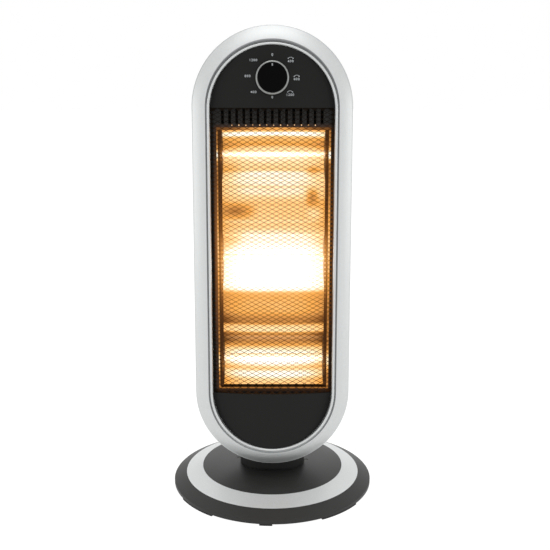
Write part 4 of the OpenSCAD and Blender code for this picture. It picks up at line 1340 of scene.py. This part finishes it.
@dataclass
class HeatingHead:
    """The head: its guard, its filaments and the marks on its panel."""

    guard: Guard = field(default_factory=Guard)
    coils: tuple[HeatingCoil, ...] = tuple(HeatingCoil(place) for place in TubePlace)
    dial: DialMarks = field(default_factory=DialMarks)

    def build(self) -> None:
        """Builds the head's pieces in order."""
        self.guard.build()
        for coil in self.coils:
            coil.build()
        self.dial.build()


def dress_nodes() -> None:
    """Gives every CAD node that still shows its finish."""
    for name, finish in NODE_FINISHES.items():
        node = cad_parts[name]
        for slot in node.material_slots:
            slot.material = finish.material()
        log.info("%s: %s", name, finish.name)


# ---------------------------------------------------------------- studio


@dataclass(frozen=True)
class SoftBox:
    """A square lamp that looks at the middle of the heater."""

    name: str
    place: tuple[float, float, float]
    size: float
    watts: float
    aim: tuple[float, float, float] = (0.0, 0.0, 0.32)

    def build(self) -> None:
        """Makes the lamp."""
        lamp = bpy.data.lights.new(self.name, "AREA")
        lamp.shape = "SQUARE"
        lamp.size = self.size
        lamp.energy = self.watts
        holder = bpy.data.objects.new(self.name, lamp)
        holder.location = self.place
        view = Vector(self.aim) - Vector(self.place)
        holder.rotation_euler = view.to_track_quat("-Z", "Y").to_euler()
        bpy.context.scene.collection.objects.link(holder)


def seen_rays(tree: Tree) -> Node:
    """1 on rays from the camera and off glossy surfaces, and 0 on all the rest.

    Args:
        tree: the node tree of the world or of a material.

    Returns:
        The share, 0 or 1.
    """
    path = add_node(tree, "LightPath").outputs
    rays = (path["Is Camera Ray"], path["Is Glossy Ray"])
    return add_node(tree, "Math", rays, operation="MAXIMUM")


@dataclass
class Studio:
    """White studio: a pale floor, soft lamps above and at the sides, and the camera."""

    camera_place: tuple[float, float, float] = (0.0, -1.189, 0.577)
    camera_down_deg: float = 13.06
    focal_mm: float = 58.3
    sensor_mm: float = 36.0
    shift_x: float = 0.0049
    floor_r: float = 12.0
    floor_sides: int = 96
    paper: str = "#f2f2f2"
    # Even light that only the camera and mirrors see, and its share; the rest is paper, with the shadow
    floor_glow: float = 1.18
    floor_cover: float = 0.8
    world_light: float = 0.8
    lamps: tuple[SoftBox, ...] = (
        SoftBox("top front box", (0.0, -1.0, 2.0), 1.2, 5.5),
        SoftBox("top back box", (0.0, 0.7, 2.1), 1.3, 9.0),
        SoftBox("left box", (-1.9, -0.7, 0.4), 1.0, 3.0),
        SoftBox("right box", (1.9, -0.7, 0.4), 1.0, 3.0),
        SoftBox("back box", (0.0, 2.2, 1.3), 1.6, 8.0),
    )

    def world(self) -> None:
        """A dim even sky for the light, which the camera and mirrors see as white."""
        world = bpy.data.worlds.new("studio")
        bpy.context.scene.world = world
        world.use_nodes = True
        tree = world.node_tree
        tree.nodes.clear()
        light = add_node(tree, "Background", {"Color": WHITE, "Strength": self.world_light})
        seen = add_node(tree, "Background", {"Color": WHITE, "Strength": 1.0})
        mixed = add_node(tree, "MixShader", (seen_rays(tree), light, seen))
        add_node(tree, "OutputWorld", {"Surface": mixed})

    def floor(self) -> None:
        """A wide pale floor that the camera sees as white, less the heater's shadow."""
        bm = bmesh.new()
        bmesh.ops.create_circle(bm, cap_ends=True, segments=self.floor_sides, radius=self.floor_r)
        floor = mesh_object("floor", bm)
        made = bpy.data.materials.new("white studio floor")
        made.use_nodes = True
        tree = made.node_tree
        tree.nodes.clear()
        paper = add_node(tree, "BsdfDiffuse", {"Color": linear(self.paper)})
        glow = add_node(tree, "Emission", {"Color": WHITE, "Strength": self.floor_glow})
        cover = add_node(tree, "Math", (seen_rays(tree), self.floor_cover), operation="MULTIPLY")
        mixed = add_node(tree, "MixShader", (cover, paper, glow))
        add_node(tree, "OutputMaterial", {"Surface": mixed})
        floor.data.materials.append(made)

    def camera(self) -> None:
        """The camera where the photograph was taken from."""
        data = bpy.data.cameras.new("camera")
        data.lens = self.focal_mm
        data.sensor_width = self.sensor_mm
        data.shift_x = self.shift_x
        holder = bpy.data.objects.new("camera", data)
        holder.location = self.camera_place
        holder.rotation_euler = (math.radians(90 - self.camera_down_deg), 0, 0)
        bpy.context.scene.collection.objects.link(holder)
        bpy.context.scene.camera = holder

    def build(self) -> None:
        """Sets up the studio."""
        bpy.context.scene.view_settings.view_transform = "Standard"
        self.camera()
        self.world()
        self.floor()
        for lamp in self.lamps:
            lamp.build()


def main() -> None:
    """Builds the studio, dresses the nodes and adds the head's own pieces."""
    logging.basicConfig(level=logging.INFO, format="%(name)s %(message)s")
    Studio().build()
    dress_nodes()
    HeatingHead().build()


if __name__ == "__main__":
    main()
